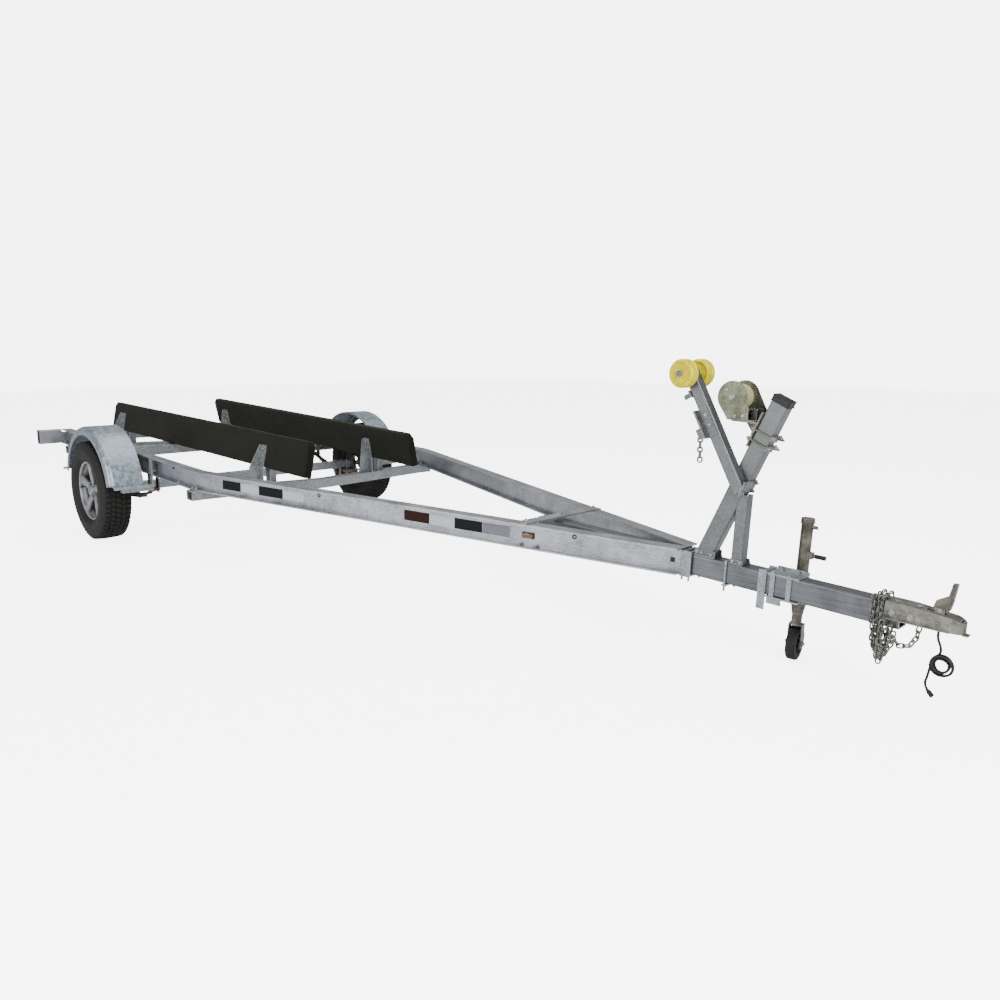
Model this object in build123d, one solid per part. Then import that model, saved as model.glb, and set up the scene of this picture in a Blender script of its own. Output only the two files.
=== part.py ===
"""Single-axle aluminium boat trailer, standing on its wheels and its tongue jack.

Everything is modelled in millimetres in the trailer's own level frame: x forward from the
axle to the coupler, y to the left, z up from the ground under the tyres. The finished trailer
is then pitched nose-down about the axle to its parked attitude and moved so that the origin
is under the middle of its bounding box.
"""
import os
from math import atan2, cos, degrees, hypot, pi, radians, sin, sqrt, tan

from build123d import *

# ---------------------------------------------------------------- driving dimensions
# wheels and axle
TYRE_RADIUS = 344.0
TYRE_WIDTH = 205.0
TREAD_WIDTH = 168.0
TYRE_BEAD_RADIUS = 196.0
RIM_RADIUS = 203.0
RIM_WALL = 7.0
RIM_WIDTH = 152.0
SPOKES = 5
SPOKE_WIDTH = 52.0
HUB_RADIUS = 62.0
WHEEL_CAP_RADIUS = 40.0
WHEEL_Y = 1100.0
SPINDLE_RADIUS = 19.0
RUNNING_FIT = 0.06
SEAT_GAP = 0.3
AXLE_TUBE = 60.0
AXLE_WALL = 5.0
AXLE_HALF = 960.0

# main beams: I section, parallel at the rear, converging to the tongue
BEAM_HEIGHT = 118.0
BEAM_FLANGE = 76.0
FLANGE_THICK = 7.0
WEB_THICK = 6.0
BEAM_BOTTOM = 496.0
BEAM_Y = 886.0
BEAM_REAR_X = -1362.0
BEND_X = 1120.0
BEND_RADIUS = 500.0
BEAM_FRONT_X = 4040.0

# tongue and cross members
TONGUE_WIDTH = 76.0
TONGUE_HEIGHT = 92.0
TUBE_WALL = 6.0
TUBE_CORNER = 7.0
TONGUE_REAR_X = 3180.0
TONGUE_FRONT_X = 4960.0
CROSS_WIDTH = 76.0
CROSS_HEIGHT = 60.0
CROSS_FRONT_X = 1100.0
CROSS_REAR_X = -1180.0
CROSS_CAMBER = 22.0
CROSS_OVERHANG = 60.0
REAR_CROSS_X = -1387.0
REAR_CROSS_DEPTH = 50.0
REAR_CROSS_HEIGHT = 90.0
MID_CROSS_X = -300.0
MID_CROSS_HEIGHT = 76.0
BRACE_X = 3300.0
BRACE_WIDTH = 60.0
BRACE_THICK = 8.0
DROP_PLATE_X = 4425.0
DROP_PLATE_WIDTH = 32.0
DROP_PLATE_DROP = 62.0

# lamps
LIGHT_BOX_LENGTH = 168.0
LIGHT_BOX_HEIGHT = 112.0
LIGHT_BOX_DEPTH = 60.0
LIGHT_BOX_WALL = 3.0
MARKER_X = 3318.0

# springs
SPRING_HALF = 400.0
SPRING_EYE_Z = 386.0
SPRING_WIDTH = 45.0
LEAF_THICK = 7.0
LEAVES = 4
HANGER_THICK = 6.0

# fenders
FENDER_RADIUS = 445.0
FENDER_INNER_Y = 965.0
FENDER_OUTER_Y = 1186.0
FENDER_THICK = 3.0
FENDER_ROUND = 34.0
FENDER_LIP = 24.0
FENDER_FOOT_Z = 440.0
FENDER_FOOT_LENGTH = 72.0
FENDER_BAR = 40.0
FENDER_PLATE = 8.0

# bunks: boards on edge, leaning inward at the top, spreading toward the rear
BUNK_HEIGHT = 226.0
BUNK_THICK = 46.0
BUNK_LEAN = 11.5
BUNK_TOP_Z = 815.0
BUNK_FRONT_X = 1612.0
BUNK_FRONT_Y = 375.0
BUNK_REAR_X = -1400.0
BUNK_REAR_Y = 440.0
BUNK_CORNER = 34.0
BRACKET_DEPTH = 76.0
BRACKET_FLAT = 52.0
BRACKET_THICK = 6.0
BRACKET_TOP_Z = 735.0

# winch stand
POST_DEPTH = 76.0
POST_WIDTH = 51.0
POST_FOOT_X = 4134.0
POST_TOP_X = 4416.0
POST_TOP_Z = 1282.0
STRUT_SIZE = 51.0
STRUT_X = 4292.0
STRUT_TOP_Z = 888.0
ARM_SIZE = 51.0
ARM_FOOT = (4300.0, 905.0)
ARM_TOP = (4026.0, 1366.0)
STAND_WALL = 4.0
CAP_HEIGHT = 26.0
HOOK_ALONG = 255.0
HOOK_LENGTH = 124.0

# bow roller
ROLLER_RADIUS = 59.0
ROLLER_WIDTH = 58.0
ROLLER_PIN_RADIUS = 8.0
ROLLER_GAP = 8.0

# winch
DRUM_X = 4221.0
DRUM_Z = 1282.0
WINCH_BASE_Z = 1196.0
WINCH_HEEL = 17.0
WINCH_TOE = 103.0
WINCH_NEAR_TOE = 76.0
RATCHET_HEIGHT = 46.0
SIDE_PLATE_RADIUS = 66.0
SIDE_PLATE_THICK = 4.0
WINCH_WIDTH = 104.0
DRUM_RADIUS = 22.0
STRAP_RADIUS = 52.0
STRAP_WIDTH = 54.0
GEAR_MODULE = 3.0
GEAR_TEETH = 40
PINION_TEETH = 10
PINION_ANGLE = -40.0
GEAR_WIDTH = 8.0
SHAFT_RADIUS = 8.0
CRANK_LENGTH = 190.0
CRANK_ANGLE = -96.6
CRANK_CLEAR = 13.0
GRIP_RADIUS = 15.0
GRIP_LENGTH = 105.0

# jack
JACK_X = 4504.0
JACK_Y = 141.0
JACK_TUBE_RADIUS = 24.0
JACK_TUBE_WALL = 3.0
JACK_TOP_Z = 808.0
JACK_HANDLE_Z = 656.0
JACK_SKIRT_RADIUS = 37.0
JACK_SKIRT_HEIGHT = 66.0
JACK_DISC_RADIUS = 44.0
JACK_TUBE_BOTTOM_Z = 402.0
JACK_STEM_RADIUS = 10.0
JACK_STEM_HEIGHT = 24.0
JACK_WHEEL_RADIUS = 74.0
JACK_WHEEL_WIDTH = 42.0
JACK_AXLE_RADIUS = 6.0
JACK_WHEEL_BEVEL = 7.0
CASTER_TRAIL = 10.0
CASTER_ANGLE = 100.0
JACK_PIVOT_Z = 554.0
JACK_PIVOT_RADIUS = 16.0

# coupler
COUPLER_REAR_X = 4905.0
COUPLER_NOSE_X = 5166.0
COUPLER_WALL = 5.0
BALL_X = 5130.0
COUPLER_BOTTOM = 538.0
SOCKET_RADIUS = 25.7
SOCKET_DEPTH = 45.0
LATCH_X = 5078.0
LATCH_LENGTH = 118.0

# chain
LINK_LENGTH = 34.0
LINK_WIDTH = 24.0
LINK_WIRE = 6.5
LINK_CORNER = 9.0

# parked attitude
PARK_PITCH = 2.47

# ---------------------------------------------------------------- derived places
AXLE_Z = TYRE_RADIUS
BEAM_TOP = BEAM_BOTTOM + BEAM_HEIGHT
BEAM_MID = BEAM_BOTTOM + BEAM_HEIGHT / 2
TONGUE_BOTTOM = BEAM_BOTTOM + FLANGE_THICK
TONGUE_TOP = TONGUE_BOTTOM + TONGUE_HEIGHT
TONGUE_MID = TONGUE_BOTTOM + TONGUE_HEIGHT / 2
BEAM_FRONT_Y = TONGUE_WIDTH / 2 + WEB_THICK / 2 + 0.6
CONVERGE = (BEAM_Y - BEAM_FRONT_Y) / (BEAM_FRONT_X - BEND_X)
SIDES = {"right": -1, "left": 1}


# ---------------------------------------------------------------- shape helpers
def block(x0, x1, y0, y1, z0, z1):
    """Box between two corners."""
    centre = ((x0 + x1) / 2, (y0 + y1) / 2, (z0 + z1) / 2)
    return Pos(*centre) * Box(abs(x1 - x0), abs(y1 - y0), abs(z1 - z0))


def rod(start, end, radius):
    """Round bar between two points."""
    axis = Vector(*end) - Vector(*start)
    return extrude(Plane(origin=start, z_dir=axis) * Circle(radius), amount=axis.length)


def drilled(start, end, radius, bore):
    """Round tube between two points."""
    axis = Vector(*end) - Vector(*start)
    ring = Circle(radius) - Circle(bore)
    return extrude(Plane(origin=start, z_dir=axis) * ring, amount=axis.length)


def box_tube(start, end, side, width, height, wall, corner=TUBE_CORNER):
    """Rectangular tube from start to end; side is the direction that width is measured in."""
    axis = Vector(*end) - Vector(*start)
    plane = Plane(origin=start, x_dir=side, z_dir=axis)
    outer = RectangleRounded(width, height, corner)
    inner = RectangleRounded(width - 2 * wall, height - 2 * wall, max(corner - wall, 0.5))
    return extrude(plane * (outer - inner), amount=axis.length)


def beam_y(x):
    """Distance of a beam's web from the centre line at x."""
    return BEAM_Y if x <= BEND_X else BEAM_Y - (x - BEND_X) * CONVERGE


def bunk_point(x, drop=0.0, out=0.0):
    """Left bunk: point drop below the top edge along the board and out from its middle."""
    share = (x - BUNK_REAR_X) / (BUNK_FRONT_X - BUNK_REAR_X)
    y = BUNK_REAR_Y + share * (BUNK_FRONT_Y - BUNK_REAR_Y)
    lean = radians(BUNK_LEAN)
    return (x, y + drop * sin(lean) + out * cos(lean), BUNK_TOP_Z - drop * cos(lean) + out * sin(lean))


def mirrored(shape):
    """Copy of a left-hand piece for the right-hand side."""
    return mirror(shape, about=Plane.XZ)


def sided(name, left_shape, pieces):
    """Store a left-hand piece and its right-hand copy."""
    pieces[name + "_left"] = left_shape
    pieces[name + "_right"] = mirrored(left_shape)


# ---------------------------------------------------------------- frame
def main_beam():
    """Left beam: I section swept along its bent line, cut square at the front."""
    past = BEAM_FRONT_X + 60
    path = FilletPolyline((BEAM_REAR_X, BEAM_Y, BEAM_MID), (BEND_X, BEAM_Y, BEAM_MID),
                          (past, beam_y(past), BEAM_MID), radius=BEND_RADIUS)
    flange = (BEAM_HEIGHT - FLANGE_THICK) / 2
    section = Rectangle(WEB_THICK, BEAM_HEIGHT) + Pos(0, flange) * Rectangle(BEAM_FLANGE, FLANGE_THICK)
    section += Pos(0, -flange) * Rectangle(BEAM_FLANGE, FLANGE_THICK)
    start = Plane(origin=(BEAM_REAR_X, BEAM_Y, BEAM_MID), x_dir=(0, 1, 0), z_dir=(1, 0, 0))
    beam = sweep(start * section, path=path)
    return beam - block(BEAM_FRONT_X, past + 90, -200, 400, 0, 900)


def cambered_crossmember(x):
    """Tube under both beams, dropped in the middle to clear a keel."""
    half = BEAM_Y + CROSS_OVERHANG
    top = BEAM_BOTTOM
    flat = BEAM_Y - BEAM_FLANGE / 2 - 30
    outline = [(-half, top), (-flat, top), (0, top - CROSS_CAMBER), (flat, top), (half, top),
               (half, top - CROSS_HEIGHT), (flat, top - CROSS_HEIGHT), (0, top - CROSS_HEIGHT - CROSS_CAMBER),
               (-flat, top - CROSS_HEIGHT), (-half, top - CROSS_HEIGHT)]
    plane = Plane(origin=(x - CROSS_WIDTH / 2, 0, 0), x_dir=(0, 1, 0), z_dir=(1, 0, 0))
    solid = extrude(plane * make_face(Polyline(*outline, close=True)), amount=CROSS_WIDTH)
    wall = TUBE_WALL
    inner = [(-half - 1, top - wall), (-flat, top - wall), (0, top - CROSS_CAMBER - wall), (flat, top - wall),
             (half + 1, top - wall), (half + 1, top - CROSS_HEIGHT + wall), (flat, top - CROSS_HEIGHT + wall),
             (0, top - CROSS_HEIGHT - CROSS_CAMBER + wall), (-flat, top - CROSS_HEIGHT + wall),
             (-half - 1, top - CROSS_HEIGHT + wall)]
    core = Plane(origin=(x - CROSS_WIDTH / 2 + wall, 0, 0), x_dir=(0, 1, 0), z_dir=(1, 0, 0))
    return solid - extrude(core * make_face(Polyline(*inner, close=True)), amount=CROSS_WIDTH - 2 * wall)


def rear_crossmember():
    """Tube across the ends of both beams."""
    end = BEAM_Y + BEAM_FLANGE / 2
    z = BEAM_BOTTOM + REAR_CROSS_HEIGHT / 2
    return box_tube((REAR_CROSS_X, -end, z), (REAR_CROSS_X, end, z), (1, 0, 0),
                    REAR_CROSS_DEPTH, REAR_CROSS_HEIGHT, TUBE_WALL)


def mid_crossmember():
    """Tube between the beams' webs just ahead of the axle's middle."""
    end = BEAM_Y - WEB_THICK / 2
    z = BEAM_BOTTOM + FLANGE_THICK + MID_CROSS_HEIGHT / 2 + 10
    return box_tube((MID_CROSS_X, -end, z), (MID_CROSS_X, end, z), (1, 0, 0),
                    CROSS_WIDTH, MID_CROSS_HEIGHT, TUBE_WALL)


def light_box():
    """Open-ended box beyond the beam that carries the left tail lamp."""
    inner = BEAM_Y + BEAM_FLANGE / 2 + SEAT_GAP
    return box_tube((REAR_CROSS_X, inner, BEAM_MID), (REAR_CROSS_X, inner + LIGHT_BOX_LENGTH, BEAM_MID), (1, 0, 0),
                    LIGHT_BOX_DEPTH, LIGHT_BOX_HEIGHT, LIGHT_BOX_WALL)


def tail_lamp():
    """Lens and body of the left tail lamp on the rear face of its box."""
    middle_y = BEAM_Y + BEAM_FLANGE / 2 + LIGHT_BOX_LENGTH / 2
    face = REAR_CROSS_X - LIGHT_BOX_DEPTH / 2
    plane = Plane(origin=(face, middle_y, BEAM_MID), x_dir=(0, 1, 0), z_dir=(-1, 0, 0))
    base = extrude(plane * RectangleRounded(LIGHT_BOX_LENGTH - 30, 92, 14), amount=8)
    lens = extrude(plane.offset(8) * RectangleRounded(LIGHT_BOX_LENGTH - 40, 82, 12), amount=14, taper=12)
    return base + lens


def side_marker():
    """Small amber marker on the outer side of the left beam's web."""
    angle = degrees(atan2(CONVERGE, 1))
    web = Vector(MARKER_X, beam_y(MARKER_X), BEAM_MID)
    plane = Plane(origin=web, x_dir=(cos(radians(angle)), -sin(radians(angle)), 0),
                  z_dir=(sin(radians(angle)), cos(radians(angle)), 0))
    return extrude(plane.offset(WEB_THICK / 2) * RectangleRounded(66, 30, 8), amount=18, taper=10)


def front_brace():
    """Flat bar bolted across the top flanges where the tongue ends."""
    half = beam_y(BRACE_X) + BEAM_FLANGE / 2 - 8
    x0 = BRACE_X - BRACE_WIDTH / 2
    bar = block(x0, x0 + BRACE_WIDTH, -half, half, BEAM_TOP, BEAM_TOP + BRACE_THICK)
    for y in (-beam_y(BRACE_X), -TONGUE_WIDTH / 4, TONGUE_WIDTH / 4, beam_y(BRACE_X)):
        bar += bolt((BRACE_X, y, BEAM_TOP + BRACE_THICK), (0, 0, 1), 9)
    return bar


def bolt(foot, direction, radius, tail=6.0):
    """Hexagon nut with a stub of thread, standing on foot."""
    plane = Plane(origin=foot, z_dir=direction)
    nut = extrude(plane * RegularPolygon(radius * 1.15, 6), amount=radius * 0.9)
    return nut + extrude(plane * Circle(radius * 0.55), amount=radius * 0.9 + tail)


def u_bolt(x, half_y, z_low, z_high, radius=4.5):
    """Square U-bolt around a tube that lies along x, nuts below."""
    legs = rod((x, -half_y, z_low), (x, -half_y, z_high), radius)
    legs += rod((x, half_y, z_low), (x, half_y, z_high), radius)
    return legs + block(x - radius, x + radius, -half_y - radius, half_y + radius, z_high - radius, z_high + radius)


def tongue():
    """Square-cornered tube from under the brace to the coupler."""
    return box_tube((TONGUE_REAR_X, 0, TONGUE_MID), (TONGUE_FRONT_X, 0, TONGUE_MID), (0, 1, 0),
                    TONGUE_WIDTH, TONGUE_HEIGHT, TUBE_WALL)


def tongue_clamps():
    """Side plates and U-bolts that lock beams and tongue, and the drop plate ahead of them."""
    side = TONGUE_WIDTH / 2
    front = BEAM_FRONT_X + 1
    low, high = TONGUE_BOTTOM, TONGUE_TOP
    pieces = None
    for sign in (-1, 1):
        y0, y1 = sorted((sign * (side + 9.5), sign * (side + 14)))
        plate = block(front, front + 54, y0, y1, low - 12, high + 10)
        pieces = plate if pieces is None else pieces + plate
        y0, y1 = sorted((sign * (side + 9.5), sign * side))
        pieces += block(front + 18, front + 38, y0, y1, low - 12, high + 10)
    for x in (front + 10, front + 44, STRUT_X - 34):
        pieces += u_bolt(x, side + 4.7, low - 30, high + 5)
        pieces += block(x - 9, x + 9, -side - 12, side + 12, low - 8, low)
    x0, x1 = DROP_PLATE_X - DROP_PLATE_WIDTH / 2, DROP_PLATE_X + DROP_PLATE_WIDTH / 2
    pieces += block(x0, x1, -side - 8, -side, low - DROP_PLATE_DROP, high + 10)
    pieces += block(x0, x1, side, side + 8, low - 12, high + 10)
    pieces += block(x0 + 6, x1 - 6, -side - 8, side + 8, high, high + 5)
    pieces += block(x0 + 6, x1 - 6, -side - 8, side + 8, low - 6, low)
    return pieces


# ---------------------------------------------------------------- running gear
def axle():
    """Square axle tube with a round spindle at each end."""
    beam = box_tube((0, -AXLE_HALF, AXLE_Z), (0, AXLE_HALF, AXLE_Z), (1, 0, 0), AXLE_TUBE, AXLE_TUBE, AXLE_WALL)
    for sign in (-1, 1):
        beam += rod((0, sign * (AXLE_HALF - 60), AXLE_Z), (0, sign * (WHEEL_Y + 44), AXLE_Z), SPINDLE_RADIUS)
        beam += rod((0, sign * (AXLE_HALF - 6), AXLE_Z), (0, sign * AXLE_HALF, AXLE_Z), AXLE_TUBE / 2 - 2)
    return beam


def leaf_spring():
    """Left leaf pack below the axle, with hangers, seat plate and U-bolts."""
    low = AXLE_Z - AXLE_TUBE / 2 - 6
    rise = SPRING_EYE_Z - low
    radius = (SPRING_HALF ** 2 + rise ** 2) / (2 * rise)
    plane = Plane(origin=(0, BEAM_Y + SPRING_WIDTH / 2, low + radius), x_dir=(1, 0, 0), z_dir=(0, -1, 0))
    pack = None
    for leaf in range(LEAVES):
        outer = radius + (leaf + 1) * LEAF_THICK
        reach = SPRING_HALF * (1 - 0.22 * leaf)
        ring = Circle(outer) - Circle(outer - LEAF_THICK)
        window = Pos(0, -radius) * Rectangle(2 * reach, 2 * rise + 120)
        strip = extrude(plane * (ring & window), amount=SPRING_WIDTH)
        pack = strip if pack is None else pack + strip
    for sign in (-1, 1):
        eye = (sign * SPRING_HALF, BEAM_Y, SPRING_EYE_Z)
        half = SPRING_WIDTH / 2
        pack += rod((eye[0], BEAM_Y - half, eye[2]), (eye[0], BEAM_Y + half, eye[2]), 14)
        pack += rod((eye[0], BEAM_Y - half - 16, eye[2]), (eye[0], BEAM_Y + half + 16, eye[2]), 7)
        for side in (-1, 1):
            y = BEAM_Y + side * (half + 1 + HANGER_THICK / 2)
            pack += block(eye[0] - 26, eye[0] + 26, y - HANGER_THICK / 2, y + HANGER_THICK / 2,
                          SPRING_EYE_Z - 24, BEAM_BOTTOM)
        pack += block(eye[0] - 32, eye[0] + 32, BEAM_Y - half - 7, BEAM_Y + half + 7, BEAM_BOTTOM - 8, BEAM_BOTTOM)
    seat = AXLE_Z + AXLE_TUBE / 2
    foot = low - LEAVES * LEAF_THICK
    pack += block(-48, 48, BEAM_Y - 46, BEAM_Y + 46, seat, seat + 8)
    pack += block(-28, 28, BEAM_Y - SPRING_WIDTH / 2, BEAM_Y + SPRING_WIDTH / 2, low - 3, AXLE_Z - AXLE_TUBE / 2)
    pack += block(-48, 48, BEAM_Y - 46, BEAM_Y + 46, foot - 8, foot)
    for x in (-38, 38):
        for side in (-1, 1):
            y = BEAM_Y + side * 34
            pack += rod((x, y, foot - 22), (x, y, seat + 22), 6)
    return pack


def tyre():
    """Left tyre: revolved section with a flat tread and bevelled shoulders."""
    half = TYRE_WIDTH / 2
    tread = TREAD_WIDTH / 2
    bead = RIM_WIDTH / 2 - RIM_WALL - 1
    widest = (TYRE_RADIUS + TYRE_BEAD_RADIUS) / 2 - 6
    side = [(TYRE_RADIUS, tread), (TYRE_RADIUS - 14, half - 7), (widest, half), (RIM_RADIUS + 3, bead + 10),
            (RIM_RADIUS + 1, bead), (TYRE_BEAD_RADIUS, bead), (TYRE_BEAD_RADIUS + 22, bead - 16)]
    section = side + [(r, -w) for r, w in reversed(side)]
    plane = Plane(origin=(0, WHEEL_Y, AXLE_Z), x_dir=(1, 0, 0), z_dir=(0, 0, 1))
    face = plane * make_face(Polyline(*section, close=True))
    return revolve(face, axis=Axis((0, WHEEL_Y, AXLE_Z), (0, 1, 0)))


def rim():
    """Left wheel: barrel, five spokes, hub with its spindle bore and cap."""
    half = RIM_WIDTH / 2
    bead = TYRE_BEAD_RADIUS
    well = bead - 26
    section = [(RIM_RADIUS, half), (RIM_RADIUS, half - 5), (bead, half - RIM_WALL - 1), (bead, 42), (well, 28),
               (well, -24), (bead, -38), (bead, RIM_WALL + 1 - half), (RIM_RADIUS, 5 - half), (RIM_RADIUS, -half),
               (bead - RIM_WALL, -half), (bead - RIM_WALL, -34), (well - RIM_WALL, -20), (well - RIM_WALL, 26),
               (bead - RIM_WALL, 40), (bead - RIM_WALL, half)]
    centre = (0, WHEEL_Y, AXLE_Z)
    plane = Plane(origin=centre, x_dir=(1, 0, 0), z_dir=(0, 0, 1))
    wheel_axis = Axis(centre, (0, 1, 0))
    barrel = revolve(plane * make_face(Polyline(*section, close=True)), axis=wheel_axis)
    face = Plane(origin=(0, WHEEL_Y + half - 14, AXLE_Z), x_dir=(1, 0, 0), z_dir=(0, -1, 0))
    spokes = extrude(face * Circle(HUB_RADIUS), amount=34)
    for index in range(SPOKES):
        turn = Rot(0, 0, 90 + index * 360 / SPOKES)
        reach = bead - RIM_WALL + 1.5
        blade = [(HUB_RADIUS - 14, SPOKE_WIDTH / 2 + 5), (reach, SPOKE_WIDTH / 2 - 5), (reach, 5 - SPOKE_WIDTH / 2),
                 (HUB_RADIUS - 14, -SPOKE_WIDTH / 2 - 5)]
        spokes += extrude(face * turn * make_face(Polyline(*blade, close=True)), amount=24)
    hub = rod((0, WHEEL_Y - 60, AXLE_Z), (0, WHEEL_Y + half - 16, AXLE_Z), HUB_RADIUS - 22)
    hub += rod((0, WHEEL_Y - 12, AXLE_Z), (0, WHEEL_Y + half - 30, AXLE_Z), HUB_RADIUS)
    cap = rod((0, WHEEL_Y + half - 16, AXLE_Z), (0, WHEEL_Y + half - 2, AXLE_Z), WHEEL_CAP_RADIUS)
    bore = rod((0, WHEEL_Y - 61, AXLE_Z), (0, WHEEL_Y + 44 + 2, AXLE_Z), SPINDLE_RADIUS + RUNNING_FIT)
    wheel = barrel + spokes + hub + cap - bore
    for index in range(SPOKES):
        angle = radians(90 + 36 + index * 360 / SPOKES)
        x, z = 50 * cos(angle), AXLE_Z + 50 * sin(angle)
        wheel += rod((x, WHEEL_Y + half - 16, z), (x, WHEEL_Y + half - 4, z), 9)
    return wheel


def fender():
    """Left fender: rolled shell round the tyre with a turned lip and flat feet."""
    reach = FENDER_RADIUS
    inner, outer = FENDER_INNER_Y, FENDER_OUTER_Y
    start_angle = degrees(atan2(FENDER_FOOT_Z - AXLE_Z, sqrt(reach ** 2 - (FENDER_FOOT_Z - AXLE_Z) ** 2)))
    profile = Polyline((reach - 12, inner), (reach, inner), (reach, outer - FENDER_ROUND))
    bend = RadiusArc((reach, outer - FENDER_ROUND), (reach - FENDER_ROUND, outer), -FENDER_ROUND)
    tail = Line((reach - FENDER_ROUND, outer), (reach - FENDER_ROUND - FENDER_LIP, outer))
    back = Polyline((reach - FENDER_ROUND - FENDER_LIP, outer), (reach - FENDER_ROUND - FENDER_LIP, outer - FENDER_THICK),
                    (reach - FENDER_ROUND, outer - FENDER_THICK))
    small = FENDER_ROUND - FENDER_THICK
    bend_in = RadiusArc((reach - FENDER_ROUND, outer - FENDER_THICK), (reach - FENDER_THICK, outer - FENDER_ROUND), small)
    under = Polyline((reach - FENDER_THICK, outer - FENDER_ROUND), (reach - FENDER_THICK, inner + FENDER_THICK),
                     (reach - 12, inner + FENDER_THICK), (reach - 12, inner))
    face = make_face([profile, bend, tail, back, bend_in, under])
    section = Plane(origin=(0, 0, AXLE_Z), x_dir=(1, 0, 0), z_dir=(0, 0, 1)) * face
    wheel_axis = Axis((0, 0, AXLE_Z), (0, -1, 0))
    section = section.rotate(wheel_axis, start_angle)
    shell = revolve(section, axis=wheel_axis, revolution_arc=180 - 2 * start_angle)
    for sign in (-1, 1):
        x = sign * sqrt(reach ** 2 - (FENDER_FOOT_Z - AXLE_Z) ** 2)
        x0, x1 = sorted((x - sign * 4, x + sign * FENDER_FOOT_LENGTH))
        foot = block(x0, x1, inner, outer - 4, FENDER_FOOT_Z, FENDER_FOOT_Z + FENDER_THICK)
        shell += foot
        edge0, edge1 = sorted((x + sign * (FENDER_FOOT_LENGTH - FENDER_THICK), x + sign * FENDER_FOOT_LENGTH))
        shell += block(edge0, edge1, inner, outer - 4, FENDER_FOOT_Z - 14, FENDER_FOOT_Z)
    return shell


def fender_brackets():
    """Four bars out under the fenders' feet, each with a plate up the edges of the beam's flanges."""
    bars = None
    x_mid = sqrt(FENDER_RADIUS ** 2 - (FENDER_FOOT_Z - AXLE_Z) ** 2) + 42
    inner = BEAM_Y + BEAM_FLANGE / 2 + SEAT_GAP
    for sign_x in (-1, 1):
        for sign_y in (-1, 1):
            x0, x1 = sign_x * x_mid - FENDER_BAR / 2, sign_x * x_mid + FENDER_BAR / 2
            y0, y1 = sorted((sign_y * inner, sign_y * (FENDER_OUTER_Y - 60)))
            bar = block(x0, x1, y0, y1, FENDER_FOOT_Z - FENDER_BAR, FENDER_FOOT_Z)
            y0, y1 = sorted((sign_y * inner, sign_y * (inner + FENDER_PLATE)))
            bar += block(x0, x1, y0, y1, FENDER_FOOT_Z, BEAM_TOP)
            bars = bar if bars is None else bars + bar
    return bars


# ---------------------------------------------------------------- bunks
def bunk():
    """Left bunk: carpeted board on edge, its top corners cut."""
    rear = Vector(*bunk_point(BUNK_REAR_X))
    front = Vector(*bunk_point(BUNK_FRONT_X))
    along = front - rear
    down = Vector(*bunk_point(BUNK_REAR_X, 100)) - rear
    across = along.cross(down)
    plane = Plane(origin=rear, x_dir=along, z_dir=across)
    flip = 1 if plane.y_dir.dot(down) > 0 else -1
    length = along.length
    cut = BUNK_CORNER
    outline = [(0, cut), (cut, 0), (length - cut, 0), (length, cut), (length, BUNK_HEIGHT), (0, BUNK_HEIGHT)]
    outline = [(x, flip * y) for x, y in outline]
    board = extrude(plane.offset(-BUNK_THICK / 2) * make_face(Polyline(*outline, close=True)), amount=BUNK_THICK)
    return fillet(board.edges().filter_by(lambda edge: edge.length > 2000), 7)


def cross_top(y):
    """Top of a cambered cross member at y."""
    flat = BEAM_Y - BEAM_FLANGE / 2 - 30
    return BEAM_BOTTOM - CROSS_CAMBER * (1 - min(abs(y), flat) / flat) + 0.3


def bunk_bracket(x, side):
    """Upright angle against one face of the left bunk, standing on the cross member."""
    half = BUNK_THICK / 2 + 0.3
    drop = (BUNK_TOP_Z - BRACKET_TOP_Z) / cos(radians(BUNK_LEAN))
    low = BUNK_HEIGHT + 14
    top_in = bunk_point(x, drop, side * half)
    low_in = bunk_point(x, low, side * half)
    top_out = bunk_point(x, drop, side * (half + 26))
    low_out = bunk_point(x, low, side * (half + BRACKET_DEPTH))
    outline = [(top_in[1], top_in[2]), (top_out[1], top_out[2]), (low_out[1], low_out[2]),
               (low_out[1], cross_top(low_out[1])), (low_in[1], cross_top(low_in[1])), (low_in[1], low_in[2])]
    plane = Plane(origin=(x - BRACKET_FLAT / 2, 0, 0), x_dir=(0, 1, 0), z_dir=(1, 0, 0))
    web = extrude(plane * make_face(Polyline(*outline, close=True)), amount=BRACKET_THICK)
    foot = cross_top(low_in[1])
    skin = [(top_in[1], top_in[2]), (low_in[1], low_in[2]), (low_in[1], foot),
            (low_in[1] + side * BRACKET_THICK, cross_top(low_in[1] + side * BRACKET_THICK)),
            (low_in[1] + side * BRACKET_THICK, low_in[2]), (top_in[1] + side * BRACKET_THICK, top_in[2])]
    flat = extrude(plane * make_face(Polyline(*skin, close=True)), amount=BRACKET_FLAT)
    spread = degrees(atan2(BUNK_FRONT_Y - BUNK_REAR_Y, BUNK_FRONT_X - BUNK_REAR_X))
    middle = bunk_point(x, drop)
    return Pos(middle[0], middle[1], 0) * Rot(0, 0, spread) * Pos(-middle[0], -middle[1], 0) * (web + flat)


# ---------------------------------------------------------------- winch stand
def lean(x0, z0, x1, z1):
    """Unit direction in the x-z plane."""
    size = hypot(x1 - x0, z1 - z0)
    return ((x1 - x0) / size, (z1 - z0) / size)


POST_DIR = lean(POST_FOOT_X, TONGUE_TOP, POST_TOP_X, POST_TOP_Z)
ARM_DIR = lean(*ARM_FOOT, *ARM_TOP)
ARM_Y = -(POST_WIDTH + ARM_SIZE) / 2
PINION_X = DRUM_X + GEAR_MODULE * (GEAR_TEETH + PINION_TEETH) / 2 * cos(radians(PINION_ANGLE))
PINION_Z = DRUM_Z + GEAR_MODULE * (GEAR_TEETH + PINION_TEETH) / 2 * sin(radians(PINION_ANGLE))


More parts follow.
